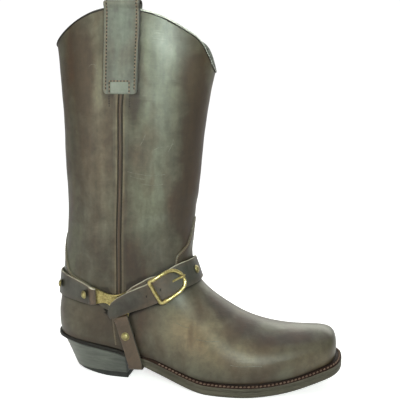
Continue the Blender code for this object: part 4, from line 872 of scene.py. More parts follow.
def strip(name, path, normals, profile, mat, values=None, index=None, mats=None, taper=0.0):
    """Band laid along a path: profile gives (across, height) from side to side; it hugs the skin across."""
    path, normals = np.asarray(path, float), np.asarray(normals, float)
    tan = unit(np.gradient(path, axis=0))
    side = unit(np.cross(normals, tan))
    run = np.concatenate([[0], np.cumsum(np.linalg.norm(np.diff(path, axis=0), axis=1))])
    pts = []
    for k, (p, n, s) in enumerate(zip(path, normals, side)):
        end = 1.0 if not taper else float(smooth(0, taper, run[k]) * smooth(0, taper, run[-1] - run[k]))
        for a, h in profile:
            q = p + s * a
            hit = SKIN_TREE.find_nearest(Vector(q))
            base, up = np.array(hit[0]), np.array(hit[1])
            up = unit(up + n)
            pts.append(base + up * (h * end if h > 0 else h))
    m = len(profile)
    faces, idx = [], []
    for i in range(len(path) - 1):
        for j in range(m - 1):
            faces.append((i * m + j, i * m + j + 1, (i + 1) * m + j + 1, (i + 1) * m + j))
            idx.append(index[j] if index else 0)
    f = faces[len(faces) // 2]
    up = np.cross(pts[f[1]] - pts[f[0]], pts[f[3]] - pts[f[0]])
    if float(up @ normals[len(path) // 2]) < 0:
        faces = [q[::-1] for q in faces]
    vals = {}
    for key, row in (values or {}).items():
        vals[key] = np.tile(row, len(path))
    return piece(name, pts, faces, mats or mat, sharp=55, index=idx, values=vals)


def side_row(path, normals, across):
    """The same path moved sideways on the skin."""
    tan = unit(np.gradient(path, axis=0))
    return hugged(path + unit(np.cross(normals, tan)) * across)


def build_overlays():
    light, dark, black = Sewing(), Sewing(), Sewing()
    # overlay edges: the leather on the lower side of the line is the upper layer, thick at the edge
    step = [(0.0, -0.15), (0.02, 0.85), (0.30, 1.15), (0.9, 1.22), (2.6, 1.15), (6.0, 0.75), (10.0, 0.25), (13.5, -0.12)]
    tints = {"haze_and_painted_light": [0.35, 0.45, 0.75, 0.7, 0.5, 0.5, 0.5, 0.5], "wear_and_sheen": [0.0, 0.10, 0.30, 0.10, 0.0, 0.0, 0.0, 0.0], "tan": [0, 0.05, 0.1, 0.05, 0, 0, 0, 0]}
    for label, table in (("vamp", VAMP_EDGE), ("counter", COUNTER_EDGE)):
        for side, sign in (("outer", 1), ("inner", -1)):
            knots = np.array([around(sign * b, z)[0] for b, z in table])
            path, n = hugged(resample(knots, step=1.6))
            tan = unit(np.gradient(path, axis=0))
            into = unit(np.cross(n, tan))
            mid = len(path) // 2
            flip = 1.0 if into[mid][2] < 0 else -1.0
            prof = [(a * flip, h) for a, h in step]
            strip(f"{label}_edge_{side}", path, n, prof, SKIN, values=tints)
            for off in (1.7, 3.9):
                q, qn = side_row(path, n, off * flip)
                (light if off < 2 else dark).row(q + qn * 0.95, qn, 2.3, 1.75, 0.34)
    # side piping: a rolled cord between two painted shadow strips in the folds
    for side, sign in (("outer", -1), ("inner", 1)):
        knots = np.array([beside(x, z, sign)[0] for x, z in SIDE_SEAM])
        path, n = hugged(resample(knots, step=2.0))
        cord = [(1.45 * math.cos(a), 0.10 + 1.15 * math.sin(a)) for a in np.linspace(0, math.pi, 9)]
        strip(f"side_piping_{side}", path, n, cord, PIPING, values={"wear_and_sheen": [0, 0, 0, 0.25, 0.35, 0.25, 0, 0, 0]})
        for label, a in (("front", 2.2), ("back", -2.2)):
            prof = [(a - 0.85, 0.08), (a, 0.14), (a + 0.85, 0.10)]
            strip(f"side_fold_{label}_{side}", path, n, prof, SEAM_DARK)
        # soft roll of the shaft's leather beside the piping
        for label, s in (("front", 1), ("back", -1)):
            prof = [(s * 2.9, 0.0), (s * 3.1, 0.40), (s * 4.0, 0.52), (s * 5.8, 0.30), (s * 8.5, -0.08)]
            strip(f"side_roll_{label}_{side}", path, n, prof, SKIN, values={"haze_and_painted_light": [0.4, 0.55, 0.6, 0.5, 0.5], "tan": [0.1, 0.35, 0.25, 0.05, 0], "wear_and_sheen": [0, 0.2, 0.1, 0, 0]})
    # seam from the plate down to the sole
    for side, sign in (("outer", -1), ("inner", 1)):
        knots = np.array([beside(x, z, sign)[0] for x, z in LOW_SEAM])
        path, n = hugged(resample(knots, step=1.6))
        tan = unit(np.gradient(path, axis=0))
        fwd = unit(np.cross(n, tan))
        flip = 1.0 if fwd[len(path) // 2][0] > 0 else -1.0
        prof = [(a * flip, h) for a, h in ((-0.5, 0.06), (0.0, 0.10), (0.05, 0.80), (0.5, 0.95), (2.5, 0.85), (6.0, 0.3), (8.0, -0.1))]
        # the foot of the step is drawn in the seam shadow material, a painted shadow
        ob = strip(f"low_seam_{side}", path, n, prof, SKIN, index=[1, 1, 0, 0, 0, 0], mats=[SKIN, SEAM_DARK], values={"haze_and_painted_light": [0.4, 0.4, 0.5, 0.6, 0.5, 0.5, 0.5], "wear_and_sheen": [0, 0, 0.4, 0.4, 0, 0, 0], "tan": [0, 0, 0.2, 0.2, 0.1, 0, 0]})
        q, qn = side_row(path, n, 2.4 * flip)
        dark.row(q + qn * 0.75, qn, 2.3, 1.7, 0.34)
    for i, line in enumerate(SCRATCHES):
        knots = np.array([beside(x, z, -1)[0] for x, z in line])
        path, n = hugged(resample(knots, step=1.2))
        strip(f"scratch_{i + 1}", path, n, [(-0.22, 0.02), (0.0, 0.05), (0.22, 0.02)], SCRATCH)
    # two short rows under the pull straps
    for sign in (-1, 1):
        for x in (66.7, 88.7):
            knots = np.array([beside(x, z, sign)[0] for z in (302.0, 296.0, 290.0)])
            path, n = hugged(resample(knots, step=1.5))
            black.row(path + n * 0.05, n, 2.2, 1.5, 0.60)
    black.make("short_row_stitches", THREAD_BLACK, "upper_leather")
    light.make("edge_stitches_pale", THREAD_TAN, "upper_leather")
    dark.make("edge_stitches_dark", THREAD_DARK, "upper_leather")


def down_columns(distance):
    """Ring of skin points the given distance below the collar's edge, with normals."""
    pts, nrm = [], []
    for c in range(UPPER.shape[1]):
        line, ln = UPPER[::-1, c], UPPER_N[::-1, c]
        run = np.concatenate([[0], np.cumsum(np.linalg.norm(np.diff(line, axis=0), axis=1))])
        pts.append([np.interp(distance, run, line[:, i]) for i in range(3)])
        nrm.append([np.interp(distance, run, ln[:, i]) for i in range(3)])
    return np.array(pts), unit(np.array(nrm))


def build_collar():
    """Pale turned edge over the collar, with painted shade over its back and far side, a painted shadow strip in the
    fold under it and a row of stitches.
    """
    top, tn = down_columns(0.0)
    around_n = len(top)
    front = smooth(55, 125, top[:, 0])
    show = 0.55 + 0.75 * front * (1 - 0.7 * smooth(148, 168, top[:, 0]))
    rings = []
    for k in range(9):
        a = k / 8 * math.pi
        rings.append(top + tn * ((math.cos(a) - 1) * WALL / 2 + 0.30 * math.cos(a)) + np.array([0, 0, 1.0]) * (0.5 * math.sin(a)))
    low, ln = [], []
    for c in range(around_n):
        line = UPPER[::-1, c]
        run = np.concatenate([[0], np.cumsum(np.linalg.norm(np.diff(line, axis=0), axis=1))])
        low.append([np.interp(show[c], run, line[:, i]) for i in range(3)])
    low = np.array(low)
    inside = top - tn * (WALL + 0.35) - np.array([0, 0, 5.0])
    grid = np.array([low + tn * 0.05, low + tn * 0.32] + rings + [inside])
    m, k = grid.shape[:2]
    faces = []
    for r in range(m - 1):
        for c in range(k):
            d = (c + 1) % k
            faces.append((r * k + c, r * k + d, (r + 1) * k + d, (r + 1) * k + c))
    n0 = np.cross(grid[1, 1] - grid[1, 0], grid[2, 0] - grid[1, 0])
    if float(n0 @ tn[0]) < 0:
        faces = [f[::-1] for f in faces]
    # dark: painted shade over the back and the far side of the collar edge
    piece("collar_edge", grid.reshape(-1, 3), faces, RIM, sharp=60, values={"dark": np.tile(0.93 * np.maximum(1 - smooth(85, 105, top[:, 0]), smooth(-6, 6, top[:, 1])), m)})
    # painted shadow strip in the fold, and stitches
    fold = []
    for off, h in ((0.0, 0.06), (0.6, 0.14), (1.3, 0.06)):
        ring = []
        for c in range(around_n):
            line, lnn = UPPER[::-1, c], UPPER_N[::-1, c]
            run = np.concatenate([[0], np.cumsum(np.linalg.norm(np.diff(line, axis=0), axis=1))])
            s = show[c] + off
            ring.append(np.array([np.interp(s, run, line[:, i]) for i in range(3)]) + lnn[0] * h)
        fold.append(ring)
    fold = np.array(fold)
    ff = []
    for r in range(2):
        for c in range(k):
            d = (c + 1) % k
            ff.append((r * k + d, r * k + c, (r + 1) * k + c, (r + 1) * k + d))
    n0 = np.cross(fold[0, 0] - fold[0, 1], fold[1, 0] - fold[0, 1])
    if float(n0 @ tn[0]) < 0:
        ff = [f[::-1] for f in ff]
    piece("collar_fold", fold.reshape(-1, 3), ff, SEAM_DARK, sharp=0)
    sew = Sewing()
    ring = []
    for c in range(around_n):
        line = UPPER[::-1, c]
        run = np.concatenate([[0], np.cumsum(np.linalg.norm(np.diff(line, axis=0), axis=1))])
        ring.append([np.interp(show[c] + 0.6, run, line[:, i]) for i in range(3)])
    ring = np.array(ring + ring[:1])
    sew.row(ring + np.concatenate([tn, tn[:1]]) * 0.15, np.concatenate([tn, tn[:1]]), 3.0, 1.9, 0.72)
    sew.make("collar_stitches", THREAD_BLACK, "upper_leather")


build_overlays()
build_collar()


# ---------------------------------------------------------------- bottom
def outline(offset, count=64):
    ring = LAST.ring(0.0, 220)
    centre = np.roll(ring, -1, 0) - np.roll(ring, 1, 0)
    n = unit(np.stack([centre[:, 1], -centre[:, 0]], 1))
    if (n * (ring[:, :2] - ring[:, :2].mean(0))).sum() < 0:
        n = -n
    loop = ring[:, :2] + n * np.asarray(offset(ring[:, 0]))[:, None]
    back, front = loop[:, 0].argmin(), loop[:, 0].argmax()
    loop = np.roll(loop, -back, 0)
    front = (front - back) % len(loop)
    sides = loop[: front + 1], np.concatenate([loop[front:], loop[:1]])[::-1]
    if sides[0][:, 1].mean() > sides[1][:, 1].mean():
        sides = sides[::-1]
    x0, x1 = loop[0, 0], loop[front, 0]
    u = np.linspace(0, 1, count)
    x = x0 + (x1 - x0) * (0.30 * u + 0.70 * (1 - np.cos(np.pi * u)) / 2)
    ys = []
    for side in sides:
        order = np.maximum.accumulate(side[:, 0]) + np.arange(len(side)) * 1e-7
        ys.append(np.interp(x, order, side[:, 1]))
    ys[0][0] = ys[1][0] = (ys[0][0] + ys[1][0]) / 2
    return x, ys[0], ys[1]


def ledge(x):
    fore = smooth(118, 178, x)
    toe = smooth(262, 300, x)
    rear = 1 - smooth(66, 96, x)
    back = 1 - smooth(2, 22, x)
    return LEDGE_WAIST + (LEDGE_FORE - LEDGE_WAIST) * fore + (LEDGE_TOE - LEDGE_FORE) * toe + (LEDGE_HEEL - LEDGE_WAIST) * rear + (LEDGE_BACK - LEDGE_HEEL) * back


def feather_ring(count):
    """Feather line with level outward normals, from the back round the outer side."""
    ring = LAST.ring(0.0, count)
    d = np.roll(ring, -1, 0) - np.roll(ring, 1, 0)
    n = unit(np.stack([d[:, 1], -d[:, 0]], 1))
    if (n * (ring[:, :2] - ring[:, :2].mean(0))).sum() < 0:
        n = -n
    return ring, n


def sole_loop(count=240):
    """Outer edge of the outsole as an even loop of points, x and y, with level normals."""
    ring, n = feather_ring(260)
    loop = ring[:, :2] + n * ledge(ring[:, 0])[:, None]
    loop = resample(loop, count=count, closed=True)
    d = np.roll(loop, -1, 0) - np.roll(loop, 1, 0)
    nn = unit(np.stack([d[:, 1], -d[:, 0]], 1))
    if (nn * (loop - loop.mean(0))).sum() < 0:
        nn = -nn
    for _ in range(2):
        nn = unit(np.roll(nn, 1, 0) + 2 * nn + np.roll(nn, -1, 0))
    return loop, nn


def build_outsole():
    loop, n = sole_loop()
    x = loop[:, 0]
    tread, top = LAST.tread(x), LAST.sole_top(x)
    thick = top - tread
    # edge profile: share of the height from the tread up, and how far inside the outline
    profile = ((0.0, 2.2), (0.04, 0.9), (0.16, 0.22), (0.34, 0.0), (0.60, 0.0), (0.82, 0.0), (0.95, 0.05), (0.985, 0.2), (1.0, 0.5))
    rings = []
    for share, inside in profile:
        p = loop - n * inside
        rings.append(np.column_stack([p, LAST.tread(p[:, 0]) * 1.0 + thick * share]))
    # painted shade on the rounded lower rows and on the top rows under the welt
    shade = {0: 0.45, 1: 0.40, 2: 0.12, 3: 0.0, 4: 0.0, 5: 0.0, 6: 0.05, 7: 0.3, 8: 0.4}
    k = len(loop)
    wear_and_sheen, dark = [], []
    # dark: the sole's black seat band, lighter at the back lip, plus the painted shade above; wear: a faint painted
    # highlight along the upper middle of the forefoot edge, and the paler worn lip at the back
    for i in range(len(profile)):
        seat = 1 - smooth(74, 100, x)
        light = smooth(96, 130, x) * (1 - smooth(255, 300, x))
        wear_and_sheen += list((0.05 * light if i in (4, 5) else 0 * x) + 0.22 * (1 - smooth(-4, 4, x)))
        lip = 1 - smooth(-4, 5, x)
        dark += list(np.clip((1.0 if i > 2 else 0.62) * seat * (1 - 0.8 * lip) + shade[i] * 0.8, 0, 1))
    pts = np.concatenate(rings)
    faces = loop_faces(len(profile), k, caps=False)
    # underside and top: rings drawn in towards the middle line
    base = len(pts)
    inner_pts = []
    for r, src in ((0, rings[0]), (1, rings[-1])):
        c = np.column_stack([src[:, 0] * 0.985 + 0.015 * src[:, 0].mean(), src[:, 1]])
        for s in (0.75, 0.4, 0.05):
            q = np.column_stack([c[:, 0], c[:, 1] * s])
            z = LAST.tread(q[:, 0]) if r == 0 else LAST.sole_top(q[:, 0])
            inner_pts.append(np.column_stack([q, z]))
    allp = np.concatenate([pts] + inner_pts)
    for r, start in ((0, 0), (1, (len(profile) - 1) * k)):
        prev = start
        for s in range(3):
            cur = base + (r * 3 + s) * k
            for j in range(k):
                d = (j + 1) % k
                f = (prev + j, prev + d, cur + d, cur + j)
                faces.append(f[::-1] if r == 0 else f)
            prev = cur
        # close along the middle line
        for j in range(k // 2):
            a, b, c2, d2 = prev + j, prev + j + 1, prev + (k - 1 - j), prev + (k - j) % k
            f = tuple(dict.fromkeys((a, b, c2, d2)))
            if len(f) > 2:
                faces.append(f[::-1] if r == 0 else f)
    extra = np.zeros(len(allp) - len(pts))
    under = np.concatenate([np.full(3 * k, 0.0), np.full(3 * k, 0.3)])
    faces = facing_out(allp, faces)
    piece("outsole_edge", allp, faces, SOLE, ("outsole",), sharp=50, values={"wear_and_sheen": np.concatenate([wear_and_sheen, extra]), "dark": np.concatenate([dark, under])})


def build_welt():
    """Stitched welt: its top slopes up to the upper, painted darker towards it as shade in the crease, with a painted
    highlight along its outer top edge and a row of stitches.
    """
    ring, n = feather_ring(230)
    keep = np.where(ring[:, 0] > WELT_END_X)[0]
    ring, n = ring[keep], n[keep]
    for _ in range(3):
        n[1:-1] = unit(n[:-2] + 2 * n[1:-1] + n[2:])
    sections, dark, wear_and_sheen = [], [], []
    sew_path, sew_n = [], []
    for p, d in zip(ring, n):
        w = float(ledge(p[0]))
        t = float(LAST.welt_t(p[0]))
        ease = float(smooth(WELT_END_X, WELT_END_X + 26, p[0]))
        rise = 0.6 + 3.6 * ease
        floor = float(LAST.sole_top(p[0])) + GAP
        d3 = Vector((d[0], d[1], 0.0))
        hit = SKIN_TREE.ray_cast(Vector((p[0] + d[0] * 30, p[1] + d[1] * 30, floor + t + rise)), -d3, 40)
        wall = 30.0 - hit[3] if hit[0] is not None else WALL + 1.0
        wall = min(max(wall, WALL), w - 0.9)
        v = w - 0.5 - wall
        light = float(smooth(120, 150, p[0]))
        # each row: across, height, painted shade (rising into the crease by the upper), painted highlight (along the
        # outer top edge, on the forefoot)
        rows = (
            (w - 1.2, -0.25, 0.0, 0.0),
            (w - 0.15, -0.25, 0.1, 0.0),
            (w - 0.02, 0.45 * t, 0.0, 0.0),
            (w - 0.05, 0.86 * t, 0.0, 0.10 * light),
            (w - 0.30, t + 0.04, 0.0, 0.42 * light),
            (w - 0.62, t + 0.10, 0.25, 0.10 * light),
            (wall + v * 0.72, t + 0.30 * rise, 0.0, 0.0),
            (wall + v * 0.45, t + 0.55 * rise, 0.1, 0.0),
            (wall + v * 0.22, t + 0.78 * rise, 0.55, 0.0),
            (wall + 0.15, t + 0.95 * rise, 0.95, 0.0),
            (wall - 0.9, t + 0.90 * rise, 1.0, 0.0),
            (WALL - 1.2, -0.25, 0.5, 0.0),
        )
        for across, high, shade, pale in rows:
            q = p[:2] + d * across
            sections.append((*q, float(LAST.sole_top(q[0])) + GAP + high))
            dark.append(shade)
            wear_and_sheen.append(pale)
        q = p[:2] + d * (wall + v * 0.66)
        sew_path.append((*q, float(LAST.sole_top(q[0])) + GAP + t + 0.40 * rise))
        sew_n.append((d[0] * 0.75, d[1] * 0.75, 0.66))
    m = 12
    faces = facing_out(sections, loop_faces(len(ring), m))
    idx = [1 if j in (0, 1, 2, 3, 11) else 0 for _ in range(len(ring) - 1) for j in range(m)] + [0, 0]
    piece("welt_strip", sections, faces, [WELT, SOLE], ("welt",), sharp=45, index=idx, values={"dark": dark, "wear_and_sheen": wear_and_sheen})
    sew = Sewing()
    inside = [i for i, p in enumerate(sew_path) if p[0] > 118]
    sew.row(np.array(sew_path)[inside], unit(np.array(sew_n)[inside]), 4.1, 2.6, 0.80, sink=0.1, lean=0.25)
    sew.make("welt_stitches", THREAD_WELT, "welt_leather")


def heel_outline(share, count=33):
    x, a, b = outline(lambda q: ledge(q) - HEEL_INSET, 160)
    x = x + (HEEL_INSET_BACK - HEEL_INSET) * (1 - smooth(x[0], x[0] + 40, x))
    seat = np.concatenate([np.stack([x, a], 1)[::-1], np.stack([x, b], 1)[1:]])
    bearing = np.arctan2(seat[:, 1], HEEL_BREAST_X - seat[:, 0])
    far = np.hypot(seat[:, 1], HEEL_BREAST_X - seat[:, 0])
    behind = seat[:, 0] <= HEEL_BREAST_X + 1
    u = np.linspace(-1, 1, count)
    th = (0.55 * u + 0.45 * u**3) * math.pi / 2
    r_seat = np.interp(th, bearing[behind], far[behind])
    long, half = HEEL_BREAST_X - HEEL_BASE_BACK_X, HEEL_BASE_HALF_W
    r_base = ((np.cos(th) / long) ** 2.2 + (np.abs(np.sin(th)) / half) ** 2.2) ** (-1 / 2.2)
    r = r_seat + (r_base - r_seat) * share
    return np.stack([HEEL_BREAST_X - r * np.cos(th), r * np.sin(th)], 1)


def breast_loop(share, count=85, breast=14):
    """Closed heel outline: round the back and straight across the breast."""
    o = heel_outline(share, count)
    a, b = o[-1], o[0]
    u = np.linspace(0, 1, breast + 2)[1:-1, None]
    return np.concatenate([o, a + (b - a) * u])


def build_heel():
    split = 0.84
    base = LIFT_T + GAP
    levels = np.concatenate([np.linspace(0, 1, 15)])
    rings, dark, wear_and_sheen = [], [], []
    lifts = 5
    for s in levels:
        o = breast_loop(split * s**0.95)
        c = o.mean(0)
        groove = 0.22 * math.exp(-(((s * lifts) % 1.0 - 0.5) ** 2) * 90) if 0.05 < s < 0.95 else 0.0
        edge = 0.5 if s == 0 or s == 1 else 0.0
        d = unit(c - o)
        o = o + d * (groove + edge * 0.6)
        top = LAST.tread(o[:, 0]) - GAP
        rings.append(np.column_stack([o, top + (base - top) * s]))
        # dark: painted shade on the breast, towards the front and on the top rows under the seat, with darker grooves
        # between the lifts
        front = smooth(HEEL_BREAST_X - 1.5, HEEL_BREAST_X - 0.2, o[:, 0])
        dark += list(np.clip(0.75 * front + 0.28 * smooth(48, 78, o[:, 0]) + (0.45 if s < 0.06 else 0.0) + (0.12 if groove > 0.05 else 0.0), 0, 1))
        # wear: paler towards the back, a painted reflection
        wear_and_sheen += list(0.12 * (1 - smooth(14, 50, o[:, 0])))
    k = len(rings[0])
    faces = loop_faces(len(levels), k)
    pts = np.concatenate(rings)
    faces = facing_out(pts, faces)
    piece("heel_block", pts, faces, HEEL, ("heel_stack",), sharp=42, values={"dark": dark, "wear_and_sheen": wear_and_sheen})
    rings, dark = [], []
    for s, z, ins in ((split, LIFT_T, 0.35), (split + 0.02, LIFT_T - 0.5, 0.0), (0.985, 0.7, 0.0), (1.0, 0.0, 0.5)):
        o = breast_loop(s)
        rise = HEEL_BEVEL[1] * np.clip((HEEL_BEVEL[0] - o[:, 0]) / (HEEL_BEVEL[0] - HEEL_BASE_BACK_X), 0, 1) ** 1.4
        o = o + unit(o.mean(0) - o) * ins
        share = 1 - z / LIFT_T
        rings.append(np.column_stack([o, z + rise * share]))
        # painted shade on the breast; darker along the top and bottom edges
        dark += list(0.2 + 0.45 * smooth(HEEL_BREAST_X - 1.5, HEEL_BREAST_X - 0.2, o[:, 0]) + (0.3 if z == LIFT_T or z == 0 else 0))
    pts = np.concatenate(rings)
    k = len(rings[0])
    faces = facing_out(pts, loop_faces(len(rings), k))
    piece("heel_lift", pts, faces, RUBBER, ("heel_top_lift",), sharp=42, values={"dark": np.clip(dark, 0, 1)})


build_outsole()
build_welt()
build_heel()
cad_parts["insole"].data.materials.clear()
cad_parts["insole"].data.materials.append(INSOLE)


# ---------------------------------------------------------------- harness
def reach(tree, deg, z):
    d = bearing_dir(deg)
    start = np.array([*HARNESS_AXIS, z]) + d * 250
    hit = tree.ray_cast(Vector(start), Vector(-d), 240)
    return 250 - hit[3] if hit[0] is not None else 0.0


def band_sections(tree, table, step, round_end=(), gap=STRAP_GAP):
    """Cross sections (middle of the inner face, half width, normal, bearing) of a taut strap, as in the solid model."""
    deg = np.array([r[0] for r in table])
    mid, half = spline(deg, [r[1] for r in table]), spline(deg, [r[2] for r in table])
    bearings = np.linspace(deg[0], deg[-1], max(2, int(round((deg[-1] - deg[0]) / step)) + 1))
    if round_end:
        bearings = np.concatenate([deg[0] + np.array(round_end), bearings[bearings > deg[0] + round_end[-1] + 0.5 * step]])
    lift = np.linspace(-1.0, 1.0, 11)
    m, h = mid(bearings), half(bearings)
    r = np.array([[max(reach(tree, b + f * step, z) for f in (-0.6, -0.3, 0.0, 0.3, 0.6)) for z in c + lift * (w + 0.7)] for b, c, w in zip(bearings, m, h)])
    dz = lift[None, :] * (h[:, None] + 0.7)
    slope = np.clip((r * dz).sum(1) / (dz * dz).sum(1), -1.5, 0.2)
    for _ in range(6):
        slope[1:-1] = (slope[:-2] + 2 * slope[1:-1] + slope[2:]) / 4
    need = (r - slope[:, None] * dz).max(1) + gap * np.hypot(1, slope)
    d = np.array([bearing_dir(b) for b in bearings])
    for _ in range(400):
        p = d * need[:, None]
        e = p[2:] - p[:-2]
        cross = p[:-2, 0] * e[:, 1] - p[:-2, 1] * e[:, 0]
        chord = cross / (d[1:-1, 0] * e[:, 1] - d[1:-1, 1] * e[:, 0])
        need[1:-1] = np.maximum(need[1:-1], chord)
    if round_end:
        need[: len(round_end)] = np.maximum(need[: len(round_end)], need[len(round_end)] * np.cos(np.radians(bearings[len(round_end)] - 96)) / np.cos(np.radians(bearings[: len(round_end)] - 96)))
    sections = []
    for i in range(len(bearings)):
        up = np.array([0, 0, 1.0]) + d[i] * slope[i]
        up /= np.linalg.norm(up)
        out = d[i] - up * float(d[i] @ up)
        out /= np.linalg.norm(out)
        sections.append((np.array([*HARNESS_AXIS, m[i]]) + d[i] * need[i], up * h[i], out, bearings[i]))
    return sections


def on_band(sections, deg):
    every = [q[3] for q in sections]
    i = int(np.clip(np.searchsorted(every, deg) - 1, 0, len(sections) - 2))
    u = (deg - every[i]) / (every[i + 1] - every[i])
    c, w, n = (a + (b - a) * u for a, b in zip(sections[i][:3], sections[i + 1][:3]))
    n = n / np.linalg.norm(n)
    return c + n * STRAP_T, n, w


def leather_band(name, sections, node, ends=(0, 0), tip=False, top_pale=True, step=1.3, wear_and_sheen=None, tan=0.0):
    """Strap with rounded edges: pale raw upper edge, dark lower one; ends = 1 where it folds round a link."""
    c = np.array([s[0] for s in sections])
    w = np.array([s[1] for s in sections])
    n = np.array([s[2] for s in sections])
    run = np.concatenate([[0], np.cumsum(np.linalg.norm(np.diff(c, axis=0), axis=1))])
    f = spline(run, np.concatenate([c, w, n], axis=1))
    q = np.linspace(0, run[-1], max(8, int(run[-1] / step)))
    if tip:
        q = np.concatenate([np.linspace(0, 8, 14), q[q > 8.6]])
    v = f(q)
    c, w, n = v[:, :3], v[:, 3:6], unit(v[:, 6:9])
    half = np.linalg.norm(w, axis=1)
    w = unit(w)
    if tip:
        # round the free end off completely
        lead = unit(c[0] - c[3])
        grow = np.array([1.5, 1.3, 1.0, 0.55])
        slim = np.array([0.10, 0.42, 0.66, 0.87])
        c = np.concatenate([c[0] + lead * grow[:, None], c])
        w, n = np.concatenate([np.repeat(w[:1], 4, 0), w]), np.concatenate([np.repeat(n[:1], 4, 0), n])
        half = np.concatenate([half[0] * slim, half])
        q = np.concatenate([-grow, q])
    T = STRAP_T
    r = 0.75
    arc = np.linspace(0, math.pi / 2, 5)
    profile = []  # (side -1 lower, +1 upper, inset from the edge, height)
    for a in arc:
        profile.append((1, r * (1 - math.cos(a)), T - r + r * math.sin(a)))
    face_a = len(profile)
    for share in (0.55, 0.0, -0.55):
        profile.append((share, None, T + 0.16 * (1 - abs(share))))
    for a in arc[::-1]:
        profile.append((-1, r * (1 - math.cos(a)), T - r + r * math.sin(a)))
    low = len(profile)
    profile += [(-1, 0.05, 0.35), (-1, 0.5, 0.0), (1, 0.5, 0.0), (1, 0.05, 0.35)]
    pts, wears, tans = [], [], []
    total = q[-1]
    for k in range(len(c)):
        fold = 0.0
        near = 1e9
        if ends[0]:
            near = min(near, q[k])
        if ends[1]:
            near = min(near, total - q[k])
        thick = 1.0 + (0.55 * float(smooth(7.5, 5.0, near)) if near < 20 else 0.0)
        round_off = float(math.sqrt(max(0.0, 1 - max(0.0, 1 - near / 1.7) ** 2))) if near < 1.7 else 1.0
        worn = 0.85 * float(smooth(7.0, 3.4, near)) if near < 20 else 0.0
        for side, inset, height in profile:
            if inset is None:
                across = side * half[k]
            else:
                across = side * max(half[k] - inset, 0.02)
            lift = height * thick * (round_off if height > 0.3 else 1.0)
            pts.append(c[k] + w[k] * across + n[k] * lift)
            rub = 0.30 if inset is not None and 0.2 < inset + 0.001 and height > T - r else (0.22 if inset is not None and height > 0.3 else 0.0)
            wears.append(worn + rub + (wear_and_sheen(q[k], across / max(half[k], 0.1)) if wear_and_sheen else 0.0))
            tans.append(tan)
    m = len(profile)
    faces = loop_faces(len(c), m)
    idx = []
    for i in range(len(c) - 1):
        for j in range(m):
            if j == m - 1 or j < 4:
                idx.append(1)
            elif low - 3 <= j < low + 1:
                idx.append(2)
            else:
                idx.append(0)
    idx += [2, 2]
    ordered = facing_out(pts, faces)
    piece(name, pts, ordered, [STRAP, RAW_EDGE if top_pale else DARK_EDGE, DARK_EDGE], (node,), sharp=60, index=idx, values={"haze_and_painted_light": np.full(len(pts), 0.5), "wear_and_sheen": np.clip(wears, 0, 1), "tan": tans})


def plate_edge(fine):
    pts = []
    for i, (x, z, hollow) in enumerate(PLATE):
        nx, nz, _ = PLATE[(i + 1) % len(PLATE)]
        count = (9 if hollow else 4) * fine
        d = np.array([nx - x, nz - z])
        inward = np.array([d[1], -d[0]]) / np.linalg.norm(d)
        for k in range(count):
            u = k / count
            pts.append(np.array([x, z]) + d * u + inward * hollow * math.sin(math.pi * u) ** 1.3)
    return np.array(pts)


def side_hit(tree, x, z, sign):
    hit = tree.ray_cast(Vector((x, sign * 200, z)), Vector((0, -sign, 0)), 220)
    return sign * hit[0].y if hit[0] is not None else None


def build_plate(name, node, sign):
    """Three-armed link: stamped ground inside a polished raised rim."""
    tree = cad_tree([node])
    edge = plate_edge(4)
    mid = np.array(PLATE_MID)
    # smooth face through the solid's outer face
    probe = np.concatenate([mid + (edge - mid) * s for s in (0.2, 0.5, 0.8, 0.97)])
    hits = [(p, side_hit(tree, p[0], p[1], sign)) for p in probe]
    hits = [(p, y) for p, y in hits if y is not None]
    P, Y = np.array([p for p, _ in hits]), np.array([y for _, y in hits])

    def basis(p):
        u, v = (p[..., 0] - mid[0]) / 30, (p[..., 1] - mid[1]) / 20
        return np.stack([np.ones_like(u), u, v, u * u, u * v, v * v, u**3, u * u * v, u * v * v, v**3], -1)

    fit = np.linalg.lstsq(basis(P), Y, rcond=None)[0]
    far = lambda p: basis(p) @ fit - 0.1
    long = np.linalg.norm(edge - mid, axis=1)
    steps = (0.0, 0.18, 0.36, 0.54, 0.70, "r5", "r2.6", "r2.1", "r1.6", "r0.8", "r0.25", "r0")
    heights = {"r5": 0.0, "r2.6": 0.0, "r2.1": 0.10, "r1.6": 0.50, "r0.8": 0.62, "r0.25": 0.45, "r0": -0.1}
    pts, idx_ring = [np.array([mid[0], sign * float(far(mid)), mid[1]])], []
    for s in steps[1:]:
        share = np.full(len(edge), s, float) if not isinstance(s, str) else 1 - float(s[1:]) / long
        if not isinstance(s, str):
            share = np.minimum(share, 1 - 5.2 / long)
        p = mid + (edge - mid) * share[:, None]
        h = heights.get(s, 0.0) if isinstance(s, str) else 0.0
        y = far(p) + h
        pts += list(np.column_stack([p[:, 0], sign * y, p[:, 1]]))
    back = mid + (edge - mid) * (1 - 0.1 / long)[:, None]
    y = far(back) - PLATE_T + 0.2
    pts += list(np.column_stack([back[:, 0], sign * y, back[:, 1]]))
    m = len(edge)
    faces, idx = [], []
    for j in range(m):
        faces.append((0, 1 + j, 1 + (j + 1) % m))
        idx.append(0)
    rows = len(steps)  # rings after the middle point, the back ring included
    for r in range(rows - 1):
        a, b = 1 + r * m, 1 + (r + 1) * m
        for j in range(m):
            k = (j + 1) % m
            faces.append((a + j, b + j, b + k, a + k))
            idx.append(0 if r < 5 else 1)
    n0 = np.cross(pts[faces[0][1]] - pts[0], pts[faces[0][2]] - pts[0])
    if n0[1] * sign < 0:
        faces = [f[::-1] for f in faces]
    piece(name, pts, faces, [BRASS_FACE, BRASS_RIM], (node,), sharp=50, index=idx)


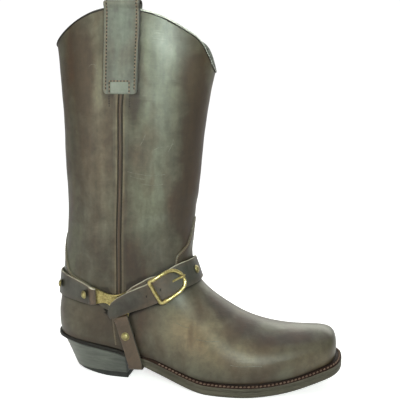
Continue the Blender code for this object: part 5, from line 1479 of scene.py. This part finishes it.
def hull(points):
    pts = sorted(map(tuple, points))

    def half(seq):
        h = []
        for p in seq:
            while len(h) > 1 and (h[-1][0] - h[-2][0]) * (p[1] - h[-2][1]) - (h[-1][1] - h[-2][1]) * (p[0] - h[-2][0]) <= 0:
                h.pop()
            h.append(p)
        return h

    lo, hi = half(pts), half(pts[::-1])
    return np.array(lo[:-1] + hi[:-1])


def under_axis(z):
    low = float(LAST.tread(UNDER_LOW_X))
    u = np.clip((UNDER_TOP[1] - z) / (UNDER_TOP[1] - low), 0, 1)
    return UNDER_TOP[0] + (UNDER_LOW_X - UNDER_TOP[0]) * u


def under_sections(tree):
    reach_x = UNDER_HALF_W + 1.0
    low = float(min(LAST.tread(UNDER_LOW_X - reach_x), LAST.tread(UNDER_LOW_X + reach_x)))
    shape = []
    for side in (-1, 1):
        for z in np.concatenate([np.linspace(UNDER_TOP[1] + 8, 46, 20), np.linspace(45, low + 0.5, 34)]):
            ys = [side_hit(tree, under_axis(z) + dx, z, side) for dx in np.linspace(-reach_x, reach_x, 7)]
            ys = [y for y in ys if y is not None]
            if ys:
                shape += [(side * max(ys), z), (side * max(ys), max(z - 0.8, low))]
    ring = hull(shape)
    start = int(np.argmin(np.where(ring[:, 1] > UNDER_TOP[1], ring[:, 0], 1e9)))
    ring = np.roll(ring, -start, 0)
    stop = int(np.argmax(np.where(ring[:, 1] > UNDER_TOP[1], ring[:, 0], -1e9)))
    path = ring[: stop + 1]
    run = np.concatenate([[0], np.cumsum(np.linalg.norm(np.diff(path, axis=0), axis=1))])
    q = np.linspace(0, run[-1], 240)
    path = np.stack([np.interp(q, run, path[:, i]) for i in range(2)], 1)
    tan = np.gradient(path, axis=0)
    for _ in range(14):
        tan[1:-1] = (tan[:-2] + 2 * tan[1:-1] + tan[2:]) / 4
    tan /= np.linalg.norm(tan, axis=1, keepdims=True)
    nrm = np.stack([tan[:, 1], -tan[:, 0]], 1)
    inside = path + nrm * (STRAP_GAP + 0.45)
    keep = np.where(path[:, 1] <= UNDER_TOP[1])[0]
    sections = []
    lean = (UNDER_LOW_X - UNDER_TOP[0]) / (UNDER_TOP[1] - low)
    for k in keep[np.round(np.linspace(0, len(keep) - 1, 44)).astype(int)]:
        y, z = inside[k]
        t3 = np.array([-lean * tan[k, 1], *tan[k]])
        n3 = np.array([0.0, *nrm[k]])
        w = np.cross(t3, n3)
        w *= np.sign(w[0]) / np.linalg.norm(w)
        sections.append((np.array([under_axis(z), y, z]), w * UNDER_HALF_W, n3, None))
    return sections


def lathe_stud(name, node, normal):
    """Domed stud with a thin flange, standing where its solid stands."""
    n = unit(normal)
    v = np.array([np.array(q.co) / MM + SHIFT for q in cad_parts[node].data.vertices])
    low, high = (v @ n).min(), (v @ n).max()
    c = v.mean(0)
    c = c + n * (low - float(c @ n))
    a = unit(np.cross(n, [0.31, 0.2, 0.93]))
    b = np.cross(n, a)
    profile = [(STUD_R * 0.94, -0.25), (STUD_R, 0.1), (STUD_R * 0.99, 0.42), (STUD_R * 0.93, 0.62), (STUD_R * 0.86, 0.60)]
    profile += [(STUD_R * 0.84 * math.cos(t), 0.62 + (STUD_H - 0.62) * math.sin(t)) for t in np.linspace(0.04, 1.42, 9)]
    k = 40
    pts = [c + a * r * math.cos(2 * math.pi * j / k) + b * r * math.sin(2 * math.pi * j / k) + n * h for r, h in profile for j in range(k)]
    faces = facing_out(pts, loop_faces(len(profile), k))
    piece(name, pts, faces, BRASS_STUD, (node,), sharp=35)


def tube(name, path, facing, radius, sides, mat, node, closed, flat=1.0):
    path = np.asarray(path, float)
    tan = (np.roll(path, -1, 0) - np.roll(path, 1, 0)) if closed else np.gradient(path, axis=0)
    tan = unit(tan)
    radius = np.broadcast_to(np.asarray(radius, float), (len(path),))
    pts = []
    for p, t, ref, r in zip(path, tan, facing, radius):
        a = unit(np.cross(t, ref))
        b = np.cross(a, t)
        for k in range(sides):
            th = 2 * math.pi * (k + 0.5) / sides
            pts.append(p + a * r * math.cos(th) + b * r * flat * math.sin(th))
    faces = facing_out(pts, loop_faces(len(path), sides, closed))
    piece(name, pts, faces, mat, (node,) if node else (), sharp=45)


def build_buckle(sections):
    c0, n0, _ = on_band(sections, BUCKLE_MID)
    ahead, behind = (on_band(sections, BUCKLE_MID + d)[0] for d in (8, -8))
    along = unit(ahead - behind)
    across = np.cross(n0, along)
    across *= np.sign(across[2])
    under = cad_tree(["upper", "front_strap", "buckle_chape"])

    def at(u, v, lift, need):
        p = c0 + along * u + across * v
        for _ in range(3):
            c, n, _ = on_band(sections, bearing_of(p))
            p = p + n * (lift - float((p - c) @ n))
        for _ in range(12):
            near = under.find_nearest(Vector(p))
            p = p + n * max(0.0, need - near[3])
        return p, n

    r = BUCKLE_WIRE_R
    lift, need = r + GAP + 0.1, r / math.cos(math.pi / 8) + GAP
    knee = -BUCKLE_HALF_L * 0.22
    spots = [(-BUCKLE_HALF_L, v * BUCKLE_HALF_H) for v in np.linspace(-0.93, 0.93, 7)]
    spots += [(-BUCKLE_HALF_L + 0.9, BUCKLE_HALF_H)]
    spots += [(u, BUCKLE_HALF_H) for u in np.linspace(-BUCKLE_HALF_L + 4, knee - 3, 3)]
    for a in np.linspace(math.pi / 2, -math.pi / 2, 19):
        spots.append((knee + (BUCKLE_HALF_L - knee) * max(math.cos(a), 0.0) ** 0.84, BUCKLE_HALF_H * math.copysign(abs(math.sin(a)) ** 0.84, a)))
    spots += [(u, -BUCKLE_HALF_H) for u in np.linspace(knee - 3, -BUCKLE_HALF_L + 4, 3)]
    spots += [(-BUCKLE_HALF_L + 0.9, -BUCKLE_HALF_H)]
    path, facing = zip(*(at(u, v, lift, need) for u, v in spots))
    path, facing = np.array(path), np.array(facing)
    both = resample(np.concatenate([path, facing * 12], axis=1), count=230, closed=True)
    path, facing = both[:, :3], unit(both[:, 3:])
    # small shoulders where the bow meets the bar
    rad = np.full(len(path), r)
    for v in (1, -1):
        knob = at(-BUCKLE_HALF_L + 4.6, v * BUCKLE_HALF_H, lift, need)[0]
        d = np.linalg.norm(path - knob, axis=1)
        rad += 0.62 * np.exp(-((d / 1.5) ** 2))
    tube("buckle_bow", path, facing, rad, 14, BRASS_RIM, "buckle_frame", True)
    rise = 2 * r + GAP + 0.5
    prong = []
    for u in np.linspace(0, 1, 8):
        over = PRONG_R + GAP + 0.15 + rise * float(smooth(0.1, 0.74, u))
        prong.append(at(PRONG_FROM + (PRONG_TO - PRONG_FROM) * u, 0.0, over, PRONG_R * 1.2 + GAP))
    path, facing = zip(*prong)
    both = resample(np.concatenate([np.array(path), np.array(facing) * 12], axis=1), count=40)
    u = np.linspace(0, 1, 40)
    rad = PRONG_R * (1.0 - 0.25 * smooth(0.8, 1.0, u) - 0.55 * smooth(0.965, 1.0, u)) * (0.9 + 0.1 * smooth(0, 0.1, u))
    tube("buckle_tongue", both[:, :3], unit(both[:, 3:]), rad, 12, BRASS_RIM, "buckle_prong", False)


def build_holes(sections):
    """Punched holes of the free end, and the one the prong comes out of: each a near-black disc of painted shade inside
    a slightly raised rim of strap leather, not cut through.
    """
    k = 22
    pts, faces, idx = [], [], []
    for deg, drop in ((124.2, -0.6), (137.2, -1.0), (151.8, -0.4)):
        c, n, w = on_band(sections, deg)
        up = unit(w)
        along = unit(np.cross(up, n))
        c = c + up * drop + n * 0.16
        base = len(pts)
        for r, h in ((0.0, 0.02), (1.30, 0.02), (1.65, 0.10), (2.05, 0.03)):
            for j in range(k):
                th = 2 * math.pi * j / k
                pts.append(c + along * r * 1.15 * math.cos(th) + up * r * math.sin(th) + n * h)
        for ring in range(3):
            for j in range(k):
                m = (j + 1) % k
                f = (base + ring * k + j, base + (ring + 1) * k + j, base + (ring + 1) * k + m, base + ring * k + m)
                faces.append(f)
                idx.append(0 if ring == 0 else 1)
        f = faces[-1]
        if float(np.cross(pts[f[1]] - pts[f[0]], pts[f[2]] - pts[f[0]]) @ n) < 0:
            faces[-3 * k :] = [g[::-1] for g in faces[-3 * k :]]
    piece("strap_holes", pts, faces, [HOLE, STRAP], sharp=60, index=idx, values={"haze_and_painted_light": np.full(len(pts), 0.6), "wear_and_sheen": np.full(len(pts), 0.25), "tan": np.zeros(len(pts))})


def build_pull(name, node, sign):
    """Pull strap: stitched loop of leather over the collar, with a sewn box at its foot."""
    tree = cad_tree(["upper"])

    def edge_x(u, z):
        k = float(smooth(PULL_LOW_Z, 385.0, z))
        a, b = (lo + (hi - lo) * k for lo, hi in zip(PULL_LOW_X, PULL_TOP_X))
        return a + (b - a) * u

    def wall(x, z):
        out = tree.ray_cast(Vector((x, sign * 200, z)), Vector((0, -sign, 0)), 220)[0]
        inn = tree.ray_cast(Vector((x, 0, z)), Vector((0, sign, 0)), 220)[0]
        return (abs(out.y) if out else None), (abs(inn.y) if inn else None)

    def collar_z(x):
        lo, hi = 330.0, 400.0
        for _ in range(24):
            m = (lo + hi) / 2
            if wall(x, m)[0] is None:
                hi = m
            else:
                lo = m
        return lo

    top = max(collar_z(x) for x in np.linspace(*PULL_TOP_X, 9))
    cols = []
    for u in np.linspace(0, 1, 5):
        line = []
        xt = edge_x(u, 385.0)
        edge = min(collar_z(np.clip(xt + d, *PULL_TOP_X)) for d in (-6, 0, 6)) - 1.2
        for z in np.linspace(PULL_LOW_Z, edge - 2.0, 9):
            x = edge_x(u, z)
            y = max(wall(x + d, z)[0] for d in (-4, 0, 4))
            line.append((x, y + GAP + 0.25, z))
        y_out, y_in = wall(xt, edge)
        c, half = (y_out + y_in) / 2, (y_out - y_in) / 2
        for a in np.linspace(0.12, math.pi - 0.12, 11):
            ry = half + GAP + 0.3 + PULL_BOW * math.sin(a) ** 0.7
            z = top + 0.6 + (PULL_RISE - PULL_T - 0.6) * math.sin(a) ** 0.8 - (top - edge) * (1 - math.sin(a)) * 0.6
            line.append((xt, c + ry * math.cos(a), z))
        for z in np.linspace(edge - 4.0, PULL_IN_Z, 6):
            x = edge_x(u, z)
            y = min(wall(x + d, z)[1] for d in (-4, 0, 4))
            line.append((x, y - GAP - 0.25, z))
        cols.append(line)
    cols = np.array(cols)
    rows_n, across_n = 150, 41
    # finer: smooth across, then along
    us = np.linspace(0, 1, 5)
    grid = spline(us, cols)(np.linspace(0, 1, across_n))
    fine = []
    for i in range(across_n):
        line = grid[i]
        run = np.concatenate([[0], np.cumsum(np.linalg.norm(np.diff(line, axis=0), axis=1))])
        f = spline(run, line)
        from_edge = min(i, across_n - 1 - i) / (across_n - 1) * 37.0
        r = 4.6
        s0 = r - math.sqrt(max(0.0, r * r - (r - from_edge) ** 2)) if from_edge < r else 0.0
        head = np.linspace(s0, 20.0, 26, endpoint=False)
        fine.append(f(np.concatenate([head, np.linspace(20.0, run[-1], rows_n - 26)])))
    g = np.array(fine)
    tan = unit(np.gradient(g, axis=1))
    nrm = unit(np.stack([0 * tan[..., 0], tan[..., 2], -tan[..., 1]], 2))
    dirs = unit(np.gradient(g, axis=0))
    T = PULL_T
    pts, haze_and_painted_light, wear_and_sheen, tans, pale = [], [], [], [], []
    ring_n = 2 * across_n + 4
    for j in range(rows_n):
        ring = []
        end = 1.0
        for i in range(across_n):
            ring.append((g[i, j] + nrm[i, j] * (T - (0.45 if i in (0, across_n - 1) else 0.0)), i))
        e = across_n - 1
        ring.append((g[e, j] + nrm[e, j] * T * 0.55 + dirs[e, j] * 0.32, -1))
        ring.append((g[e, j] + nrm[e, j] * 0.25 + dirs[e, j] * 0.25, -1))
        for i in range(across_n - 1, -1, -1):
            ring.append((g[i, j], -2))
        ring.append((g[0, j] + nrm[0, j] * 0.25 - dirs[0, j] * 0.25, -1))
        ring.append((g[0, j] + nrm[0, j] * T * 0.55 - dirs[0, j] * 0.32, -1))
        for p, i in ring:
            pts.append((p[0], sign * p[1], p[2]))
            x, z = p[0], p[2]
            inbox = float(smooth(68.6, 69.6, x) * smooth(87.8, 86.8, x) * smooth(303.8, 304.8, z) * smooth(315.2, 314.2, z)) if j < 60 else 0.0
            across = 0.0 if i < 0 else i / (across_n - 1)
            high = float(smooth(300, 390, z))
            h = 0.55 + 0.22 * math.exp(-(((across - 0.55) / 0.22) ** 2)) - 0.18 * math.exp(-(((z - 336) / 20) ** 2)) + 0.55 * inbox
            off = min(across, 1 - across) * 37.0 if i >= 0 else 9.0
            haze_and_painted_light.append(min(1.0, h) * (1 - 0.75 * float(smooth(0.93, 0.96, across))) if i >= 0 else 0.35)
            wear_and_sheen.append(0.30 * float(smooth(0.10, 0.06, across)) + 0.22 * float(smooth(0.89, 0.92, across) * smooth(0.97, 0.95, across)) if i >= 0 else 0.0)
            pale.append((0.16 + 0.22 * float(smooth(86, 70, x))) * inbox)
            tans.append(0.20 * float(smooth(384, 394, z)) + 0.0)
    faces = loop_faces(rows_n, ring_n)
    idx = []
    for j in range(rows_n - 1):
        for i in range(ring_n):
            idx.append(1 if across_n - 2 <= i < across_n + 2 or i >= ring_n - 3 else (2 if i >= across_n + 1 else 0))
    idx += [1, 1]
    pts = np.array(pts)
    piece(name, pts, facing_out(pts, faces), [STRAP_PULL, DARK_EDGE, DARK_EDGE], (node,), sharp=60, index=idx, values={"haze_and_painted_light": haze_and_painted_light, "wear_and_sheen": np.clip(wear_and_sheen, 0, 1), "tan": np.clip(tans, 0, 1), "pale": np.clip(pale, 0, 1)})
    # stitches, each row on a brown line pressed by the sewing
    dark = Sewing()

    def pressed(label, path, nn, half):
        side = unit(np.cross(nn, unit(np.gradient(path, axis=0))))
        grid = np.stack([path - side * half + nn * 0.03, path + nn * 0.06, path + side * half + nn * 0.03], 1)
        quads = [(j * 3 + c, j * 3 + c + 1, j * 3 + c + 4, j * 3 + c + 3) for j in range(len(path) - 1) for c in (0, 1)]
        flat = grid.reshape(-1, 3)
        a, b, _, d = quads[len(quads) // 2]
        if float(np.cross(flat[b] - flat[a], flat[d] - flat[a]) @ nn[len(path) // 2]) < 0:
            quads = [q[::-1] for q in quads]
        piece(f"{name}_line_{label}", flat, quads, PRESSED, sharp=0)

    face = lambda i, j: (g[i, j] + nrm[i, j] * T) * np.array([1, sign, 1])
    fn = lambda i, j: nrm[i, j] * np.array([1, sign, 1])
    per = (across_n - 1) / 37.0
    for a in (3.3 * per, across_n - 1 - 3.3 * per):
        i0, f = int(a), a - int(a)
        js = range(5, 118)
        path = np.array([face(i0, j) * (1 - f) + face(i0 + 1, j) * f for j in js])
        nn = unit(np.array([fn(i0, j) for j in js]))
        dark.row(path + nn * 0.05, nn, 3.4, 2.2, 0.62)
        pressed("back" if a < across_n / 2 else "front", path, nn, 0.85)
    surface = bvh(pts, faces)

    def sewn(points):
        p, n = [], []
        for x, z in points:
            hit = surface.ray_cast(Vector((x, sign * 200, z)), Vector((0, -sign, 0)), 220)
            p.append(np.array(hit[0]))
            n.append(np.array([0, sign, 0.0]))
        return np.array(p), np.array(n)

    for a, b in (((67.8, 303.9), (67.8, 315.8)), ((67.8, 315.8), (88.4, 315.8)), ((88.4, 315.8), (88.4, 303.9))):
        u = np.linspace(0, 1, 14)[:, None]
        p, n = sewn(np.array(a) + (np.array(b) - np.array(a)) * u)
        dark.row(p + n * 0.05, n, 3.1, 2.0, 0.62)
        pressed(f"box_{int(a[0])}_{int(b[0])}", p, n, 0.7)
    dark.make(name + "_stitches", THREAD_BLACK, "strap_leather")


STRAP_PULL = waxed_leather("waxed pull strap leather", (0.044, 0.040, 0.030), (0.118, 0.126, 0.106), (0.15, 0.108, 0.068), rough=0.45, coat=0.26, seed=5.3, grain=1.2, contrast=0.8)
plates = ["link_plate_outer", "link_plate_inner"]
build_plate("link_outer", plates[0], -1)
build_plate("link_inner", plates[1], +1)
UNDER = under_sections(cad_tree(["upper", "welt", "outsole"] + plates))
dressed = ["upper", "under_strap"] + plates
BACK = band_sections(cad_tree(dressed), BACK_STRAP, 4.0)
CHAPE_S = band_sections(cad_tree(dressed), CHAPE, 4.0)
FRONT = band_sections(cad_tree(dressed + ["buckle_chape"]), FRONT_STRAP, 3.5, FRONT_TIP)


def under_wear(s, across):
    """Crosswise creases where the strap bends over the sole's edge."""
    return 0.30 * math.exp(-(((s - 33.0) / 2.2) ** 2)) + 0.35 * math.exp(-(((s - 47.0) / 4.0) ** 2))


def buckle_wear(s, across):
    """Rubbed where the strap runs under the buckle's bar and over the front of the ankle."""
    return 0.85 * math.exp(-(((s - 58.0) / 17.0) ** 2)) * (0.8 + 0.2 * across) + 0.10 * math.exp(-(((s - 4.0) / 5.0) ** 2))


leather_band("strap_under", UNDER, "under_strap", ends=(1, 1), top_pale=False, wear_and_sheen=under_wear, tan=0.80)
leather_band("strap_back", BACK, "back_strap", ends=(1, 1))
leather_band("strap_chape", CHAPE_S, "buckle_chape", ends=(1, 0), wear_and_sheen=lambda s, across: 0.45 * max(0.0, across))
leather_band("strap_front", FRONT, "front_strap", ends=(0, 1), tip=True, wear_and_sheen=buckle_wear)
build_buckle(FRONT)
build_holes(FRONT)


def shade_beside(name, bands):
    """Painted shade along the straps: a dark line on the leather beside them, widest along the lower edge, and beside
    the pull straps.
    """
    me = bpy.data.objects[name].data
    pts = np.empty(len(me.vertices) * 3)
    me.vertices.foreach_get("co", pts)
    pts = pts.reshape(-1, 3) / MM + SHIFT
    dark = np.zeros(len(pts))
    for sections, level in bands:
        c = np.array([q[0] for q in sections])
        w = np.array([q[1] for q in sections])
        run = np.concatenate([[0], np.cumsum(np.linalg.norm(np.diff(c, axis=0), axis=1))])
        fine = spline(run, np.concatenate([c, w], axis=1))(np.linspace(0, run[-1], int(run[-1]) + 2))
        c, w = fine[:, :3], fine[:, 3:]
        half = np.linalg.norm(w, axis=1)
        near = np.where((pts[:, 2] > c[:, 2].min() - 25) & (pts[:, 2] < c[:, 2].max() + 25))[0]
        for block in np.array_split(near, max(1, len(near) // 2000)):
            d = np.linalg.norm(pts[block][:, None] - c[None], axis=2)
            k = d.argmin(1)
            off = pts[block] - c[k]
            across = (off * w[k]).sum(1) / half[k]
            out = np.abs(across) - half[k]
            wide = np.where((across < 0) | (level < 1), 2.3, 1.2)
            v = np.exp(-((np.maximum(out, 0) / wide) ** 2)) * np.where(across < 0, 1.0, 0.55) * (d[np.arange(len(k)), k] < half[k] + 8)
            dark[block] = np.maximum(dark[block], v * max(level, 0.7))
    x, z = pts[:, 0], pts[:, 2]
    k = smooth(PULL_LOW_Z, 385.0, z)
    lo, hi = (a + (b - a) * k for a, b in zip(PULL_LOW_X, PULL_TOP_X))
    gap = np.hypot(np.maximum(np.maximum(lo - x, x - hi), 0), np.maximum(PULL_LOW_Z - z, 0))
    dark = np.maximum(dark, np.exp(-((gap / 1.5) ** 2)) * np.where(x > hi, 0.9, 0.6))
    at = me.attributes.new("shade", "FLOAT", "POINT")
    at.data.foreach_set("value", dark)


shade_beside("upper_skin", ((BACK, 1.0), (CHAPE_S, 1.0), (FRONT, 1.0), (UNDER, 0.8)))
for i, deg in enumerate(BACK_STUDS):
    lathe_stud(f"dome_back_{i + 1}", f"stud_back_{i + 1}", on_band(BACK, deg)[1])
for i, deg in enumerate(FRONT_STUDS):
    lathe_stud(f"dome_front_{i + 1}", f"stud_front_{i + 1}", on_band(FRONT, deg)[1])
for label, part in (("outer", UNDER[: len(UNDER) // 2]), ("inner", UNDER[len(UNDER) // 2 :])):
    s = min(part, key=lambda q: abs(q[0][2] - UNDER_STUD_Z))
    lathe_stud(f"dome_under_{label}", f"stud_under_{label}", s[2])
build_pull("pull_outer", "pull_strap_outer", -1)
build_pull("pull_inner", "pull_strap_inner", +1)


# ---------------------------------------------------------------- stage
def build_stage():
    scene = bpy.context.scene
    scene.view_settings.view_transform = "Standard"
    m, t, shader = new_material("pale floor")
    shader.inputs["Base Color"].default_value = (0.80, 0.80, 0.80, 1)
    shader.inputs["Roughness"].default_value = 0.9
    shader.inputs["Emission Color"].default_value = (1, 1, 1, 1)
    seen = add(t, "ShaderNodeLightPath").outputs["Is Camera Ray"]
    t.links.new(math_node(t, "ADD", math_node(t, "MULTIPLY", seen, 0.50), 0.20), shader.inputs["Emission Strength"])
    me = bpy.data.meshes.new("floor")
    s = 6.0
    me.from_pydata([(-s, -s, 0), (s, -s, 0), (s, s, 0), (-s, s, 0)], [], [(0, 1, 2, 3)])
    me.materials.append(m)
    floor = bpy.data.objects.new("floor", me)
    scene.collection.objects.link(floor)

    # plain pale room: white behind, dimmer round the camera, bright overhead
    world = bpy.data.worlds.new("studio")
    scene.world = world
    world.use_nodes = True
    w = world.node_tree
    back = w.nodes["Background"]
    d = add(w, "ShaderNodeTexCoord").outputs["Generated"]
    split = add(w, "ShaderNodeSeparateXYZ", inputs={0: d}).outputs
    up = add(w, "ShaderNodeMapRange", inputs={0: split["Z"], 1: 0.10, 2: 0.80, 3: 0.05, 4: 0.45}).outputs[0]
    behind = add(w, "ShaderNodeMapRange", inputs={0: split["Y"], 1: 0.2, 2: 0.85, 3: 0.0, 4: 0.46}).outputs[0]
    level = math_node(w, "ADD", up, behind)
    seen = add(w, "ShaderNodeLightPath").outputs["Is Camera Ray"]
    level = math_node(w, "MAXIMUM", level, math_node(w, "MULTIPLY", seen, 1.05))
    w.links.new(add(w, "ShaderNodeCombineColor", inputs={0: level, 1: level, 2: level}).outputs[0], back.inputs["Color"])
    back.inputs["Strength"].default_value = 1.0

    def area(name, at, aim, size, power, rgb, spread=180):
        light = bpy.data.lights.new(name, "AREA")
        light.shape = "RECTANGLE"
        light.size, light.size_y = size
        light.energy = power
        light.color = rgb
        light.spread = math.radians(spread)
        ob = bpy.data.objects.new(name, light)
        ob.location = at
        ob.rotation_euler = (Vector(aim) - Vector(at)).to_track_quat("-Z", "Y").to_euler()
        scene.collection.objects.link(ob)

    area("key", (0.55, -1.35, 0.95), (-0.08, 0, 0.46), (0.45, 0.8), 2.6, (0.84, 1.0, 0.90), 36)
    area("side", (-1.00, -1.15, 0.35), (0.0, 0, 0.10), (1.3, 0.7), 6.5, (1.0, 0.93, 0.80))
    area("top", (0.25, 0.25, 1.7), (0.12, 0, 0.0), (1.5, 1.2), 7.5, (1.0, 1.0, 0.92))
    area("back", (0.36, 1.15, 0.66), (0.13, 0, 0.06), (1.1, 0.6), 4.9, (1.0, 1.0, 0.86))

    # camera at the picture's angle
    yaw, pitch, roll = (math.radians(v) for v in (9.4, 5.9, 0.98))
    fw = np.array([-math.sin(yaw) * math.cos(pitch), math.cos(yaw) * math.cos(pitch), -math.sin(pitch)])
    right = np.array([math.cos(yaw), math.sin(yaw), 0.0])
    up_v = np.cross(right, fw)
    r2 = math.cos(roll) * right + math.sin(roll) * up_v
    u2 = -math.sin(roll) * right + math.cos(roll) * up_v
    pos = (np.array([264.6, -670.3, 263.6]) - SHIFT) * MM
    cam = bpy.data.cameras.new("camera")
    cam.sensor_fit = "HORIZONTAL"
    cam.sensor_width = 36.0
    cam.lens = 36.0 * 635.0 / 400.0
    cam.shift_y = 0.7 / 400.0
    cam.clip_start, cam.clip_end = 0.01, 50
    ob = bpy.data.objects.new("camera", cam)
    ob.matrix_world = Matrix([[r2[0], u2[0], -fw[0], pos[0]], [r2[1], u2[1], -fw[1], pos[1]], [r2[2], u2[2], -fw[2], pos[2]], [0, 0, 0, 1]])
    scene.collection.objects.link(ob)
    scene.camera = ob


build_stage()
